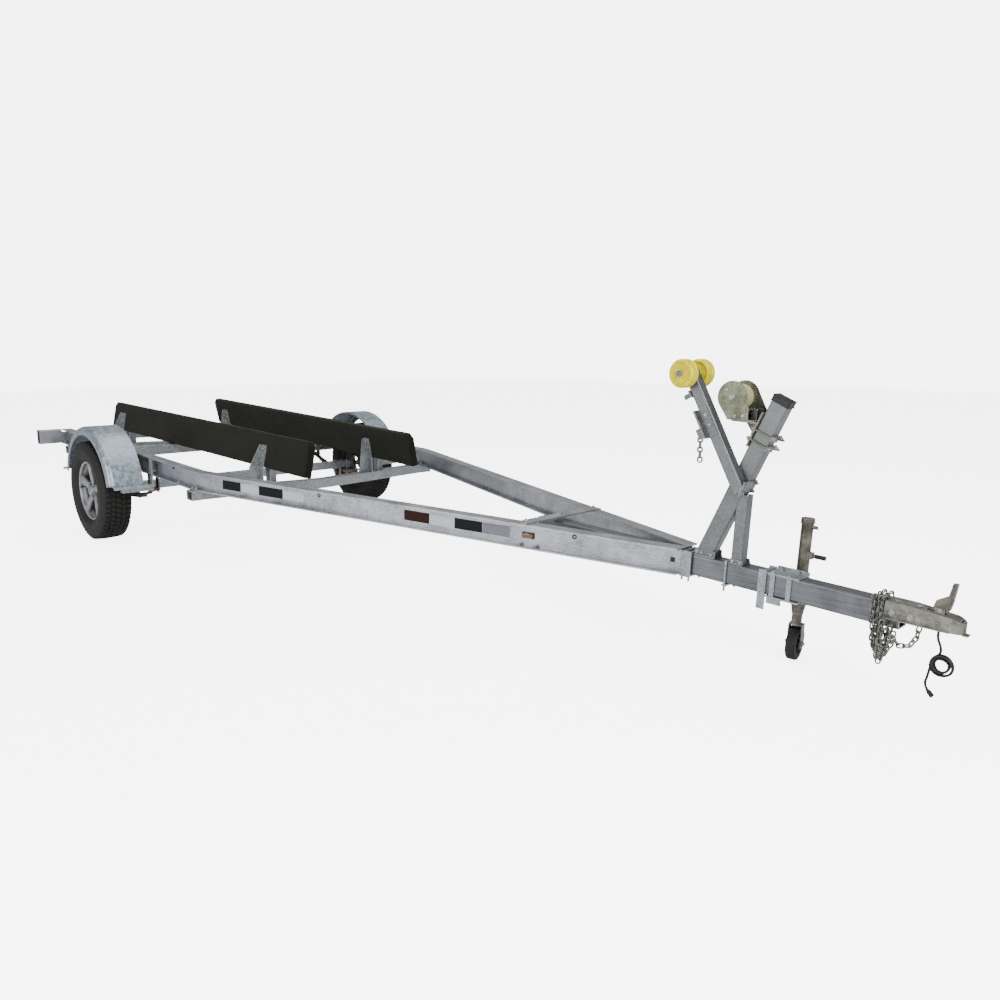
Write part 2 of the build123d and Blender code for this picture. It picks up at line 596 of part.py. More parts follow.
def post_point(z, across=0.0):
    """Point on the post's middle line at z, moved across it toward the front."""
    x = POST_FOOT_X + (z - TONGUE_TOP) * POST_DIR[0] / POST_DIR[1]
    return (x + across * POST_DIR[1], z - across * POST_DIR[0])


def angled_block(origin, direction, along, across, y0, y1):
    """Box in the x-z plane along a direction: along and across are (low, high) pairs."""
    plane = Plane(origin=(origin[0], y0, origin[1]), x_dir=(direction[0], 0, direction[1]), z_dir=(0, 1, 0))
    flip = 1 if plane.y_dir.X * direction[1] > 0 else -1
    rect = [(along[0], flip * across[0]), (along[1], flip * across[0]), (along[1], flip * across[1]),
            (along[0], flip * across[1])]
    return extrude(plane * make_face(Polyline(*rect, close=True)), amount=y1 - y0)


def winch_post():
    """Leaning post, cut level on the tongue."""
    foot = (POST_FOOT_X - 60 * POST_DIR[0], 0, TONGUE_TOP - 60 * POST_DIR[1])
    post = box_tube(foot, (POST_TOP_X, 0, POST_TOP_Z), (0, 1, 0), POST_WIDTH, POST_DEPTH, STAND_WALL)
    return post - block(3900, 4400, -100, 100, 400, TONGUE_TOP)


def post_cap():
    """Plastic cap pushed over the post's top."""
    top = (POST_TOP_X, 0, POST_TOP_Z)
    plane = Plane(origin=top, x_dir=(0, 1, 0), z_dir=(POST_DIR[0], 0, POST_DIR[1]))
    cap = extrude(plane.offset(-14) * RectangleRounded(POST_WIDTH + 5, POST_DEPTH + 5, 8), amount=CAP_HEIGHT)
    return cap - extrude(plane.offset(-14) * RectangleRounded(POST_WIDTH + SEAT_GAP, POST_DEPTH + SEAT_GAP, TUBE_CORNER), amount=14)


def winch_strut():
    """Upright strut below the post, its top cut to the post's underside."""
    strut = box_tube((STRUT_X, 0, TONGUE_TOP), (STRUT_X, 0, STRUT_TOP_Z), (0, 1, 0),
                     STRUT_SIZE, STRUT_SIZE, STAND_WALL)
    edge = POST_DEPTH / 2
    low = post_point(TONGUE_TOP - 60, edge)
    high = post_point(POST_TOP_Z, edge)
    above = [(low[0], low[1]), (high[0], high[1]), (high[0] - 500, high[1] + 200), (low[0] - 500, low[1])]
    plane = Plane(origin=(0, 200, 0), x_dir=(1, 0, 0), z_dir=(0, -1, 0))
    return strut - extrude(plane * make_face(Polyline(*above, close=True)), amount=400)


def roller_arm():
    """Arm beside the post that carries the bow rollers on a cross pin."""
    foot = (ARM_FOOT[0], ARM_Y, ARM_FOOT[1])
    top = (ARM_TOP[0] + 14 * ARM_DIR[0], ARM_Y, ARM_TOP[1] + 14 * ARM_DIR[1])
    arm = box_tube(foot, top, (0, 1, 0), ARM_SIZE, ARM_SIZE, STAND_WALL)
    past = angled_block(post_point(ARM_FOOT[1]), POST_DIR, (-200, 200), (POST_DEPTH / 2, 200), ARM_Y - 40, ARM_Y + 40)
    arm -= past
    reach = ARM_SIZE / 2 + ROLLER_GAP + ROLLER_WIDTH + 4
    arm += rod((ARM_TOP[0], ARM_Y - reach, ARM_TOP[1]), (ARM_TOP[0], ARM_Y + reach, ARM_TOP[1]), ROLLER_PIN_RADIUS)
    for sign in (-1, 1):
        y0 = ARM_Y + sign * (reach - 1)
        arm += rod((ARM_TOP[0], y0, ARM_TOP[1]), (ARM_TOP[0], y0 + sign * 7, ARM_TOP[1]), 14)
    return arm


def bow_roller(sign):
    """One roller beside the arm: grooved barrel bored for the pin."""
    inner = ARM_Y + sign * (ARM_SIZE / 2 + ROLLER_GAP)
    outer = inner + sign * ROLLER_WIDTH
    bore = ROLLER_PIN_RADIUS + RUNNING_FIT
    big = ROLLER_RADIUS
    step = ROLLER_WIDTH / 4
    section = [(bore, 0), (big - 10, 0), (big, step * 0.6), (big, step * 1.4), (big - 6, step * 2),
               (big, step * 2.6), (big, step * 3.4), (big - 10, step * 4), (bore, step * 4)]
    x, z = ARM_TOP
    plane = Plane(origin=(x, min(inner, outer), z), x_dir=(1, 0, 0), z_dir=(0, 0, 1))
    return revolve(plane * make_face(Polyline(*section, close=True)), axis=Axis((x, 0, z), (0, 1, 0)))


def stand_clamps():
    """Clamps that hold the arm, the strut and the post's foot."""
    half = POST_DEPTH / 2
    joint = post_point(ARM_FOOT[1] + 20)
    clamp = angled_block(joint, POST_DIR, (-14, 44), (half, half + 6), -ARM_SIZE - POST_WIDTH / 2, POST_WIDTH / 2 + 4)
    for along in (-4, 34):
        for y in (-ARM_SIZE - POST_WIDTH / 2 + 10, POST_WIDTH / 2 - 6):
            foot = (joint[0] + along * POST_DIR[0] + (half + 6) * POST_DIR[1], y,
                    joint[1] + along * POST_DIR[1] - (half + 6) * POST_DIR[0])
            clamp += bolt(foot, (POST_DIR[1], 0, -POST_DIR[0]), 7)
    side = POST_WIDTH / 2
    for sign in (-1, 1):
        y0, y1 = sorted((sign * side, sign * (side + 5)))
        edge0, edge1 = sorted((sign * side, sign * TONGUE_WIDTH / 2))
        clamp += block(POST_FOOT_X - 38, POST_FOOT_X + 60, y0, y1, TONGUE_TOP, TONGUE_TOP + 30)
        clamp += block(POST_FOOT_X - 38, POST_FOOT_X + 60, edge0, edge1, TONGUE_TOP, TONGUE_TOP + 5)
        clamp += block(STRUT_X - 26, STRUT_X + 34, y0, y1, TONGUE_TOP, TONGUE_TOP + 20)
        clamp += block(STRUT_X - 26, STRUT_X + 34, edge0, edge1, TONGUE_TOP, TONGUE_TOP + 5)
    return clamp


def arm_bracket():
    """Channel and tab on the arm with a hook and a few links for the bow eye."""
    start, length = HOOK_ALONG, HOOK_LENGTH
    near = ARM_Y - ARM_SIZE / 2
    edge = -ARM_SIZE / 2
    plate = angled_block(ARM_FOOT, ARM_DIR, (start, start + length), (edge - 8, -edge * 0.7), near - 5, near)
    plate += angled_block(ARM_FOOT, ARM_DIR, (start, start + length), (edge - 8, edge), near - 30, near + ARM_SIZE * 0.7)
    plate += angled_block(ARM_FOOT, ARM_DIR, (start + 8, start + 52), (edge - 40, edge - 8), near - 12, near - 6)
    tab = HOOK_ALONG + HOOK_LENGTH + 62
    plate += angled_block(ARM_FOOT, ARM_DIR, (tab, tab + 30), (edge - 8, edge), near - 5, near + ARM_SIZE * 0.7)
    plate += angled_block(ARM_FOOT, ARM_DIR, (tab + 4, tab + 24), (edge - 42, edge - 8), near + 8, near + 14)
    hang_x = ARM_FOOT[0] + (start + 30) * ARM_DIR[0] + (edge - 24) * ARM_DIR[1]
    hang_z = ARM_FOOT[1] + (start + 30) * ARM_DIR[1] - (edge - 24) * ARM_DIR[0] - 26
    return plate + chain([(hang_x, near - 9, hang_z), (hang_x + 6, near - 9, hang_z - 84)])


# ---------------------------------------------------------------- winch
def gear_face(teeth, phase):
    """Spur gear outline: involute flanks drawn with short chords."""
    pitch = GEAR_MODULE * teeth / 2
    base = pitch * cos(radians(20))
    root = pitch - 1.15 * GEAR_MODULE
    tip = pitch + 0.8 * GEAR_MODULE
    slack = 0.16 / pitch
    half = pi / 2 / teeth + tan(radians(20)) - radians(20) - slack
    flank = []
    low = max(root, base)
    for step in range(4):
        radius = low + (tip - low) * step / 3
        roll = sqrt(max((radius / base) ** 2 - 1, 0))
        flank.append((radius, half - (roll - atan2(roll, 1))))
    points = []
    for tooth in range(teeth):
        middle = phase + 2 * pi * tooth / teeth
        side = [(root, half + 0.01)] + flank if root < low else flank
        points += [(r * cos(middle - a), r * sin(middle - a)) for r, a in side]
        points += [(r * cos(middle + a), r * sin(middle + a)) for r, a in reversed(side)]
    return make_face(Polyline(*points, close=True))


def gear(x, z, teeth, y0, phase):
    """Spur gear about an axis along y."""
    plane = Plane(origin=(x, y0, z), x_dir=(1, 0, 0), z_dir=(0, -1, 0))
    return extrude(plane * gear_face(teeth, phase), amount=-GEAR_WIDTH)


def winch_frame():
    """Two side plates on a base, with the drum's fixed shaft and the crank shaft's holes."""
    half = WINCH_WIDTH / 2
    base = WINCH_BASE_Z
    foot_x0, foot_x1 = DRUM_X - WINCH_HEEL, DRUM_X + WINCH_TOE
    radius = SIDE_PLATE_RADIUS
    heel = [(foot_x0, base), (DRUM_X + 40, base), (DRUM_X, DRUM_Z), (DRUM_X - radius * 0.86, DRUM_Z - radius * 0.51)]
    frame = block(foot_x0, foot_x1, -half, half, base - 5, base)
    for y, toe in ((-half, DRUM_X + WINCH_NEAR_TOE), (half - SIDE_PLATE_THICK, foot_x1)):
        body = [(DRUM_X, base), (toe, base), (toe, base + 38), (DRUM_X + radius * 0.80, DRUM_Z + radius * 0.6),
                (DRUM_X, DRUM_Z)]
        plane = Plane(origin=(0, y + SIDE_PLATE_THICK, 0), x_dir=(1, 0, 0), z_dir=(0, -1, 0))
        plate = extrude(plane * (Pos(DRUM_X, DRUM_Z) * Circle(radius)), amount=SIDE_PLATE_THICK)
        plate += extrude(plane * make_face(Polyline(*body, close=True)), amount=SIDE_PLATE_THICK)
        plate += extrude(plane * make_face(Polyline(*heel, close=True)), amount=SIDE_PLATE_THICK)
        hole = SHAFT_RADIUS + RUNNING_FIT
        plate -= rod((PINION_X, y - 1, PINION_Z), (PINION_X, y + SIDE_PLATE_THICK + 1, PINION_Z), hole)
        frame += plate
    frame += rod((DRUM_X, -half - 6, DRUM_Z), (DRUM_X, half + 6, DRUM_Z), SHAFT_RADIUS)
    frame += rod((DRUM_X + 20, -half - 1, base + 10), (DRUM_X + 20, half + 1, base + 10), 5)
    return frame + block(DRUM_X + WINCH_NEAR_TOE + 4, foot_x1, -30, 20, base, base + RATCHET_HEIGHT)


def winch_drum():
    """Drum with flanges and its driven gear, turning on the fixed shaft."""
    half = WINCH_WIDTH / 2 - SIDE_PLATE_THICK
    y0, y1 = -half + 5.5, half - 5.5
    drum = rod((DRUM_X, y0, DRUM_Z), (DRUM_X, y1, DRUM_Z), DRUM_RADIUS)
    drum += rod((DRUM_X, y0, DRUM_Z), (DRUM_X, y0 + 3, DRUM_Z), STRAP_RADIUS + 4)
    drum += rod((DRUM_X, y1 - GEAR_WIDTH - 5, DRUM_Z), (DRUM_X, y1 - GEAR_WIDTH - 2, DRUM_Z), STRAP_RADIUS + 4)
    drum += gear(DRUM_X, DRUM_Z, GEAR_TEETH, y1 - GEAR_WIDTH, radians(PINION_ANGLE))
    return drum - rod((DRUM_X, y0 - 1, DRUM_Z), (DRUM_X, y1 + 1, DRUM_Z), SHAFT_RADIUS + RUNNING_FIT)


def winch_strap():
    """Webbing wound on the drum."""
    half = WINCH_WIDTH / 2 - SIDE_PLATE_THICK
    y0, y1 = -half + 5.5 + 3.2, half - 5.5 - GEAR_WIDTH - 5.2
    return drilled((DRUM_X, y0, DRUM_Z), (DRUM_X, y1, DRUM_Z), STRAP_RADIUS, DRUM_RADIUS + 0.1)


def winch_crank():
    """Crank shaft with its pinion, arm and square end on the far side."""
    half = WINCH_WIDTH / 2
    y1 = half - SIDE_PLATE_THICK - 5.5
    arm = (cos(radians(CRANK_ANGLE)), sin(radians(CRANK_ANGLE)))
    near = half + CRANK_CLEAR
    crank = rod((PINION_X, -half - 5, PINION_Z), (PINION_X, near + 7, PINION_Z), SHAFT_RADIUS)
    crank += gear(PINION_X, PINION_Z, PINION_TEETH, y1 - GEAR_WIDTH,
                  radians(PINION_ANGLE + 180 + 180 / PINION_TEETH))
    crank += angled_block((PINION_X, PINION_Z), arm, (-16, CRANK_LENGTH + 12), (-12, 12), near, near + 6)
    x, z = PINION_X + arm[0] * CRANK_LENGTH, PINION_Z + arm[1] * CRANK_LENGTH
    crank += rod((x, near + 3, z), (x, near + 15, z), 6)
    return crank


def crank_grip():
    """Plastic grip on the crank's end."""
    near = WINCH_WIDTH / 2 + CRANK_CLEAR + 15
    x = PINION_X + cos(radians(CRANK_ANGLE)) * CRANK_LENGTH
    z = PINION_Z + sin(radians(CRANK_ANGLE)) * CRANK_LENGTH
    return rod((x, near, z), (x, near + GRIP_LENGTH, z), GRIP_RADIUS)


def winch_bracket():
    """Angle that carries the winch on the post, with its U-bolts."""
    half = POST_DEPTH / 2
    foot = post_point(WINCH_BASE_Z - 120)
    leg = angled_block(foot, POST_DIR, (0, 150), (-half - 6, -half), -38, 38)
    shelf_end = post_point(WINCH_BASE_Z - 11)[0] - half / POST_DIR[1]
    leg += block(DRUM_X - 3, shelf_end - 0.5, -38, 38, WINCH_BASE_Z - 11, WINCH_BASE_Z - 5)
    gusset = [(DRUM_X + 22, WINCH_BASE_Z - 11), (shelf_end - 6, WINCH_BASE_Z - 11),
              post_point(WINCH_BASE_Z - 104, -half - 3)]
    plane = Plane(origin=(0, 38, 0), x_dir=(1, 0, 0), z_dir=(0, -1, 0))
    leg += extrude(plane * make_face(Polyline(*gusset, close=True)), amount=5)
    for z in (WINCH_BASE_Z - 90, WINCH_BASE_Z - 50):
        for sign in (-1, 1):
            y = sign * (POST_WIDTH / 2 + 5)
            back = post_point(z, -half - 12)
            front = post_point(z, half + 26)
            leg += rod((back[0], y, back[1]), (front[0], y, front[1]), 4.5)
        strap = post_point(z)
        leg += angled_block(strap, POST_DIR, (-10, 10), (half, half + 6), -POST_WIDTH / 2 - 16, POST_WIDTH / 2 + 16)
    return leg


# ---------------------------------------------------------------- coupler
def coupler():
    """Pressed coupler over the tongue's end, closing to the ball socket."""
    side = TONGUE_WIDTH / 2 + COUPLER_WALL
    top = TONGUE_TOP + COUPLER_WALL
    nose = COUPLER_NOSE_X - BALL_X
    low = COUPLER_BOTTOM
    outline = [(COUPLER_REAR_X, -side), (TONGUE_FRONT_X + 30, -side), (BALL_X - 6, -nose), (BALL_X - 6, nose),
               (TONGUE_FRONT_X + 30, side), (COUPLER_REAR_X, side)]
    plane = Plane.XY.offset(low)
    shell = extrude(plane * make_face(Polyline(*outline, close=True)), amount=top - low)
    shell += extrude(plane * (Pos(BALL_X, 0) * Circle(nose)), amount=top - low)
    slope = [(TONGUE_FRONT_X + 20, top + 1), (COUPLER_NOSE_X + 1, top + 1), (COUPLER_NOSE_X + 1, top - 24),
             (BALL_X, top - 10)]
    wedge_plane = Plane(origin=(0, 100, 0), x_dir=(1, 0, 0), z_dir=(0, -1, 0))
    shell -= extrude(wedge_plane * make_face(Polyline(*slope, close=True)), amount=200)
    flange = [(x, y * 1.22) for x, y in outline]
    shell += extrude(plane * make_face(Polyline(*flange, close=True)), amount=4)
    hollow = [(COUPLER_REAR_X - 1, -side + COUPLER_WALL), (TONGUE_FRONT_X + 26, -side + COUPLER_WALL),
              (BALL_X - 30, -18), (BALL_X - 30, 18), (TONGUE_FRONT_X + 26, side - COUPLER_WALL),
              (COUPLER_REAR_X - 1, side - COUPLER_WALL)]
    room = top - low - COUPLER_WALL
    shell -= extrude(Plane.XY.offset(low - 1) * make_face(Polyline(*hollow[:2], *hollow[4:], close=True)),
                     amount=room + 1)
    shell -= extrude(Plane.XY.offset(low - 1) * make_face(Polyline(*hollow, close=True)), amount=room - 16)
    shell -= extrude(Plane.XY.offset(low - 1) * (Pos(BALL_X, 0) * Circle(SOCKET_RADIUS)), amount=SOCKET_DEPTH + 1)
    lip = block(BALL_X + 20, COUPLER_NOSE_X + 12, -16, 16, low - 5, low)
    shell += lip - extrude(Plane.XY.offset(low - 6) * (Pos(BALL_X, 0) * Circle(SOCKET_RADIUS + 6)), amount=8)
    shell -= block(LATCH_X - 46, LATCH_X + 20, -10, 10, top - 30, top + 5)
    for sign in (-1, 1):
        y0, y1 = sorted((sign * 10, sign * 16))
        shell += block(LATCH_X - 16, LATCH_X + 16, y0, y1, top - 24, top + 12)
    shell += rod((LATCH_X, -16, top + 2), (LATCH_X, 16, top + 2), 5)
    for x in (COUPLER_REAR_X + 28, COUPLER_REAR_X + 92):
        for sign in (-1, 1):
            shell += bolt((x, sign * side, TONGUE_MID + 14), (0, sign, 0), 8, tail=2)
    return shell


def coupler_latch():
    """Latch lever, standing open on its pin."""
    z = TONGUE_TOP + COUPLER_WALL + 2
    tip = LATCH_LENGTH - 12
    outline = [(-12, -8), (12, -8), (30, 6), (36, 34), (44, tip), (28, tip), (20, 58), (-18, 34), (-24, 8)]
    plane = Plane(origin=(LATCH_X, 9, z), x_dir=(1, 0, 0), z_dir=(0, -1, 0))
    lever = extrude(plane * make_face(Polyline(*outline, close=True)), amount=18)
    return lever - rod((LATCH_X, -12, z), (LATCH_X, 12, z), 5 + RUNNING_FIT)


# ---------------------------------------------------------------- chains
def link(centre, direction, flat):
    """One chain link as a flat ring with cut corners, long side along direction."""
    half_l, half_w, cut, wire = LINK_LENGTH / 2, LINK_WIDTH / 2, LINK_CORNER, LINK_WIRE
    outer = [(-half_l + cut, -half_w), (half_l - cut, -half_w), (half_l, 0), (half_l - cut, half_w),
             (-half_l + cut, half_w), (-half_l, 0)]
    grow_l, grow_w = (half_l - wire) / half_l, (half_w - wire) / half_w
    inner = [(x * grow_l, y * grow_w) for x, y in outer]
    ring = make_face(Polyline(*outer, close=True)) - make_face(Polyline(*inner, close=True))
    plane = Plane(origin=centre, x_dir=direction, z_dir=flat)
    return extrude(plane.offset(-wire / 2) * ring, amount=wire)


def chain(points):
    """Links along a line of points, every other one turned a quarter."""
    pitch = LINK_LENGTH - 2 * LINK_WIRE - 0.8
    links = None
    count = 0
    carry = 0.0
    for start, end in zip(points, points[1:]):
        run = Vector(*end) - Vector(*start)
        unit = run.normalized()
        level = Vector(0, 1, 0) if abs(unit.Y) < 0.8 else Vector(1, 0, 0)
        side = (level - unit * level.dot(unit)).normalized()
        other = unit.cross(side)
        place = carry
        while place <= run.length:
            centre = Vector(*start) + unit * place
            flat = side * cos(radians(45)) + other * sin(radians(45)) * (1 if count % 2 else -1)
            piece = link(centre, unit, flat)
            links = piece if links is None else links + piece
            place += pitch
            count += 1
        carry = place - run.length
    return links


def safety_chains():
    """Safety chains: wrapped round the tongue, gathered in a bundle below and looped forward."""
    side = TONGUE_WIDTH / 2 + 11
    low = TONGUE_BOTTOM
    links = None
    for back in (39, 14):
        x = COUPLER_REAR_X - back
        wrap = chain([(x, side, TONGUE_MID - 10), (x, side, TONGUE_TOP + 11), (x, -side, TONGUE_TOP + 11), (x, -side, low)])
        links = wrap if links is None else links + wrap
    middle = COUPLER_REAR_X + 8
    for spread, top, tip in ((-34, 6, 106), (-11, 4, 128), (12, 12, 124), (36, 20, 100)):
        links += chain([(middle + spread, -side - 2, low - top), (middle + spread * 0.25, -side - 2, low - tip)])
    x = COUPLER_REAR_X + 44
    loop = [(x, -side - 4, low - 30), (x + 22, -side + 10, low - 56), (x + 52, -side + 22, low - 52),
            (x + 72, -side + 24, low - 14), (x + 76, -side + 24, COUPLER_BOTTOM - 12)]
    return links + chain(loop)


# ---------------------------------------------------------------- jack
def jack_mount():
    """Clamp round the tongue with the pivot pin the jack turns on."""
    side = TONGUE_WIDTH / 2
    x0, x1 = JACK_X - 58, JACK_X + 74
    low, high = TONGUE_BOTTOM, TONGUE_TOP
    mount = block(x0, x1, side, side + 8, low - 24, high + 18)
    mount += block(x0, x1, -side - 10, side + 8, high, high + 6)
    mount += block(x0, x1, -side - 10, side + 8, low - 6, low)
    mount += block(x0 + 6, x0 + 66, -side - 10, -side - 4, low - 30, low - 6)
    for x in (x0 + 22, x1 - 40):
        mount += block(x - 9, x + 9, -side - 6, -side, low, high)
        for y in (-side - 3, side - 10):
            mount += bolt((x, y, high + 6), (0, 0, 1), 7, tail=4)
    mount += rod((JACK_X, side, JACK_PIVOT_Z), (JACK_X, JACK_Y - JACK_TUBE_RADIUS - 2, JACK_PIVOT_Z), JACK_PIVOT_RADIUS)
    mount += rod((JACK_X, side + 8, JACK_PIVOT_Z), (JACK_X, side + 20, JACK_PIVOT_Z), JACK_DISC_RADIUS)
    return mount


def jack_tube():
    """Outer tube with its swivel sleeve, skirt, cap, stub and pull handle."""
    inner = JACK_TUBE_RADIUS - JACK_TUBE_WALL
    low = JACK_TUBE_BOTTOM_Z
    tube = rod((JACK_X, JACK_Y, low), (JACK_X, JACK_Y, JACK_TOP_Z - 8), JACK_TUBE_RADIUS)
    skirt = Pos(JACK_X, JACK_Y, low + 8 + JACK_SKIRT_HEIGHT / 2)
    tube += skirt * Cone(JACK_TUBE_RADIUS, JACK_SKIRT_RADIUS, JACK_SKIRT_HEIGHT)
    disc = TONGUE_WIDTH / 2 + 20.5
    tube += rod((JACK_X, disc, JACK_PIVOT_Z), (JACK_X, disc + 7, JACK_PIVOT_Z), JACK_DISC_RADIUS)
    tube += rod((JACK_X, disc, JACK_PIVOT_Z), (JACK_X, JACK_Y, JACK_PIVOT_Z), JACK_PIVOT_RADIUS + 7)
    tube += rod((JACK_X, JACK_Y, JACK_TOP_Z - 22), (JACK_X, JACK_Y, JACK_TOP_Z), JACK_TUBE_RADIUS + 3)
    tube -= rod((JACK_X, JACK_Y, low - 1), (JACK_X, JACK_Y, JACK_TOP_Z - 8), inner)
    pin_end = JACK_Y - JACK_TUBE_RADIUS - 1
    tube -= rod((JACK_X, disc - 1, JACK_PIVOT_Z), (JACK_X, pin_end, JACK_PIVOT_Z), JACK_PIVOT_RADIUS + RUNNING_FIT)
    edge = JACK_X + JACK_TUBE_RADIUS - 3
    tube += rod((edge, JACK_Y, JACK_TOP_Z - 34), (edge + 22, JACK_Y, JACK_TOP_Z - 34), 8)
    tube += rod((edge, JACK_Y, JACK_HANDLE_Z), (edge + 70, JACK_Y, JACK_HANDLE_Z), 8)
    tube += block(edge - 1, edge + 16, JACK_Y - 12, JACK_Y + 12, JACK_HANDLE_Z - 13, JACK_HANDLE_Z + 13)
    return tube


def jack_floor(x):
    """Height of the parked floor above the level frame's ground at x."""
    pitch = radians(PARK_PITCH)
    return AXLE_Z - (AXLE_Z - x * sin(pitch)) / cos(pitch)


def standing_height():
    """Height of the turned jack wheel's middle above the parked floor, straight up in the level frame."""
    pitch = radians(PARK_PITCH)
    lean = sin(pitch) * abs(sin(radians(CASTER_ANGLE)))
    tread = JACK_WHEEL_WIDTH / 2 - JACK_WHEEL_BEVEL
    return (JACK_WHEEL_RADIUS * sqrt(1 - lean ** 2) + tread * lean) / cos(pitch)


def swivelled(shape):
    """Turn a part of the caster from trailing straight back to its angle at rest."""
    return Pos(JACK_X, JACK_Y, 0) * Rot(0, 0, CASTER_ANGLE - 180) * Pos(-JACK_X, -JACK_Y, 0) * shape


JACK_WHEEL_X = JACK_X - CASTER_TRAIL
JACK_HUB_X = JACK_X + CASTER_TRAIL * cos(radians(CASTER_ANGLE))
JACK_HUB_Y = JACK_Y + CASTER_TRAIL * sin(radians(CASTER_ANGLE))
JACK_HUB_Z = jack_floor(JACK_HUB_X) + standing_height()
FORK_TOP = JACK_HUB_Z + JACK_WHEEL_RADIUS + 8


def jack_leg():
    """Inner leg that slides in the outer tube, bored below for the caster stem."""
    radius = JACK_TUBE_RADIUS - JACK_TUBE_WALL - RUNNING_FIT
    low = FORK_TOP + 6 + 0.5
    leg = rod((JACK_X, JACK_Y, low), (JACK_X, JACK_Y, JACK_TUBE_BOTTOM_Z + 190), radius)
    leg -= rod((JACK_X, JACK_Y, low + JACK_STEM_HEIGHT + 10), (JACK_X, JACK_Y, JACK_TUBE_BOTTOM_Z + 191), radius - 3)
    stem = JACK_STEM_RADIUS + RUNNING_FIT
    return leg - rod((JACK_X, JACK_Y, low - 1), (JACK_X, JACK_Y, low + JACK_STEM_HEIGHT), stem)


def jack_fork():
    """Caster fork with its stem and the wheel's axle."""
    half = JACK_WHEEL_WIDTH / 2 + 4
    fork = rod((JACK_X, JACK_Y, FORK_TOP), (JACK_X, JACK_Y, FORK_TOP + 6 + JACK_STEM_HEIGHT), JACK_STEM_RADIUS)
    fork += rod((JACK_X, JACK_Y, FORK_TOP), (JACK_X, JACK_Y, FORK_TOP + 6), 22)
    x0, x1 = JACK_WHEEL_X - 18, JACK_WHEEL_X + 22
    fork += block(x0, x1, JACK_Y - half - 4, JACK_Y + half + 4, FORK_TOP, FORK_TOP + 4)
    for sign in (-1, 1):
        y0, y1 = sorted((JACK_Y + sign * half, JACK_Y + sign * (half + 4)))
        fork += block(x0, x1, y0, y1, JACK_HUB_Z - 18, FORK_TOP + 4)
    fork += rod((JACK_WHEEL_X, JACK_Y - half - 9, JACK_HUB_Z), (JACK_WHEEL_X, JACK_Y + half + 9, JACK_HUB_Z),
                JACK_AXLE_RADIUS)
    return swivelled(fork)


def jack_wheel():
    """Solid caster wheel."""
    half = JACK_WHEEL_WIDTH / 2
    radius = JACK_WHEEL_RADIUS
    bore = JACK_AXLE_RADIUS + RUNNING_FIT
    section = [(bore, -half + 2), (radius - 20, -half + 2), (radius - 6, -half), (radius, -half + JACK_WHEEL_BEVEL),
               (radius, half - JACK_WHEEL_BEVEL), (radius - 6, half), (radius - 20, half - 2), (bore, half - 2)]
    plane = Plane(origin=(JACK_WHEEL_X, JACK_Y, JACK_HUB_Z), x_dir=(1, 0, 0), z_dir=(0, 0, 1))
    hub_axis = Axis((JACK_WHEEL_X, JACK_Y, JACK_HUB_Z), (0, 1, 0))
    return swivelled(revolve(plane * make_face(Polyline(*section, close=True)), axis=hub_axis))


# ---------------------------------------------------------------- lighting cord
CORD_RADIUS = 4.5
COIL_CENTRE = (5118.0, -41.0, 418.0)
COIL_OUTER = 42.0
COIL_INNER = 22.0
COIL_THICK = 26.0
PLUG_LENGTH = 34.0
CORD_TOP_POINTS = [(5092, -41, 538), (5092, -41, 512), (5106, -41, 488), (5110.8, -41, 459.8)]
CORD_TAIL_POINTS = [(5092.6, -41, 384.2), (5078, -41, 364), (5073, -41, 342), (5079, -41, 322), (5093, -41, 308)]


def cord_run(points, radii):
    """Round cord along straight runs joined by arcs."""
    wire = None
    corners = [Vector(*p) for p in points]
    start = corners[0]
    edges = []
    for before, corner, after, radius in zip(corners, corners[1:], corners[2:], radii):
        into = (corner - before).normalized()
        out = (after - corner).normalized()
        turn = into.get_angle(out)
        cut = radius * tan(radians(turn) / 2)
        begin = corner - into * cut
        finish = corner + out * cut
        edges.append(Line(start, begin))
        edges.append(TangentArc(begin, finish, tangent=into))
        start = finish
    edges.append(Line(start, corners[-1]))
    wire = Wire(edges)
    plane = Plane(origin=corners[0], z_dir=corners[1] - corners[0])
    return sweep(plane * Circle(CORD_RADIUS), path=wire)


def corner_radii(points):
    """Bend radius at each corner: 0.45 of the shorter run over tan of half the turn."""
    radii = []
    corners = [Vector(*p) for p in points]
    for before, corner, after in zip(corners, corners[1:], corners[2:]):
        first, second = corner - before, after - corner
        turn = radians(first.get_angle(second))
        radii.append(0.45 * min(first.length, second.length) / tan(turn / 2))
    return radii


def coil():
    """Coiled cord as one closed ring."""
    x, y, z = COIL_CENTRE
    half = COIL_THICK / 2
    return drilled((x, y - half, z), (x, y + half, z), COIL_OUTER, COIL_INNER)


def plug():
    """Flat four-way plug at the cord's end."""
    before, end = CORD_TAIL_POINTS[-2:]
    plane = Plane(origin=end, x_dir=(0, 1, 0), z_dir=Vector(*end) - Vector(*before))
    return extrude(plane * RectangleRounded(10, 22, 3), amount=PLUG_LENGTH)


# ---------------------------------------------------------------- parked placement
def parked(shape):
    """Pitch a shape nose-down about the axle."""
    return Pos(0, 0, AXLE_Z) * Rot(0, PARK_PITCH, 0) * Pos(0, 0, -AXLE_Z) * shape


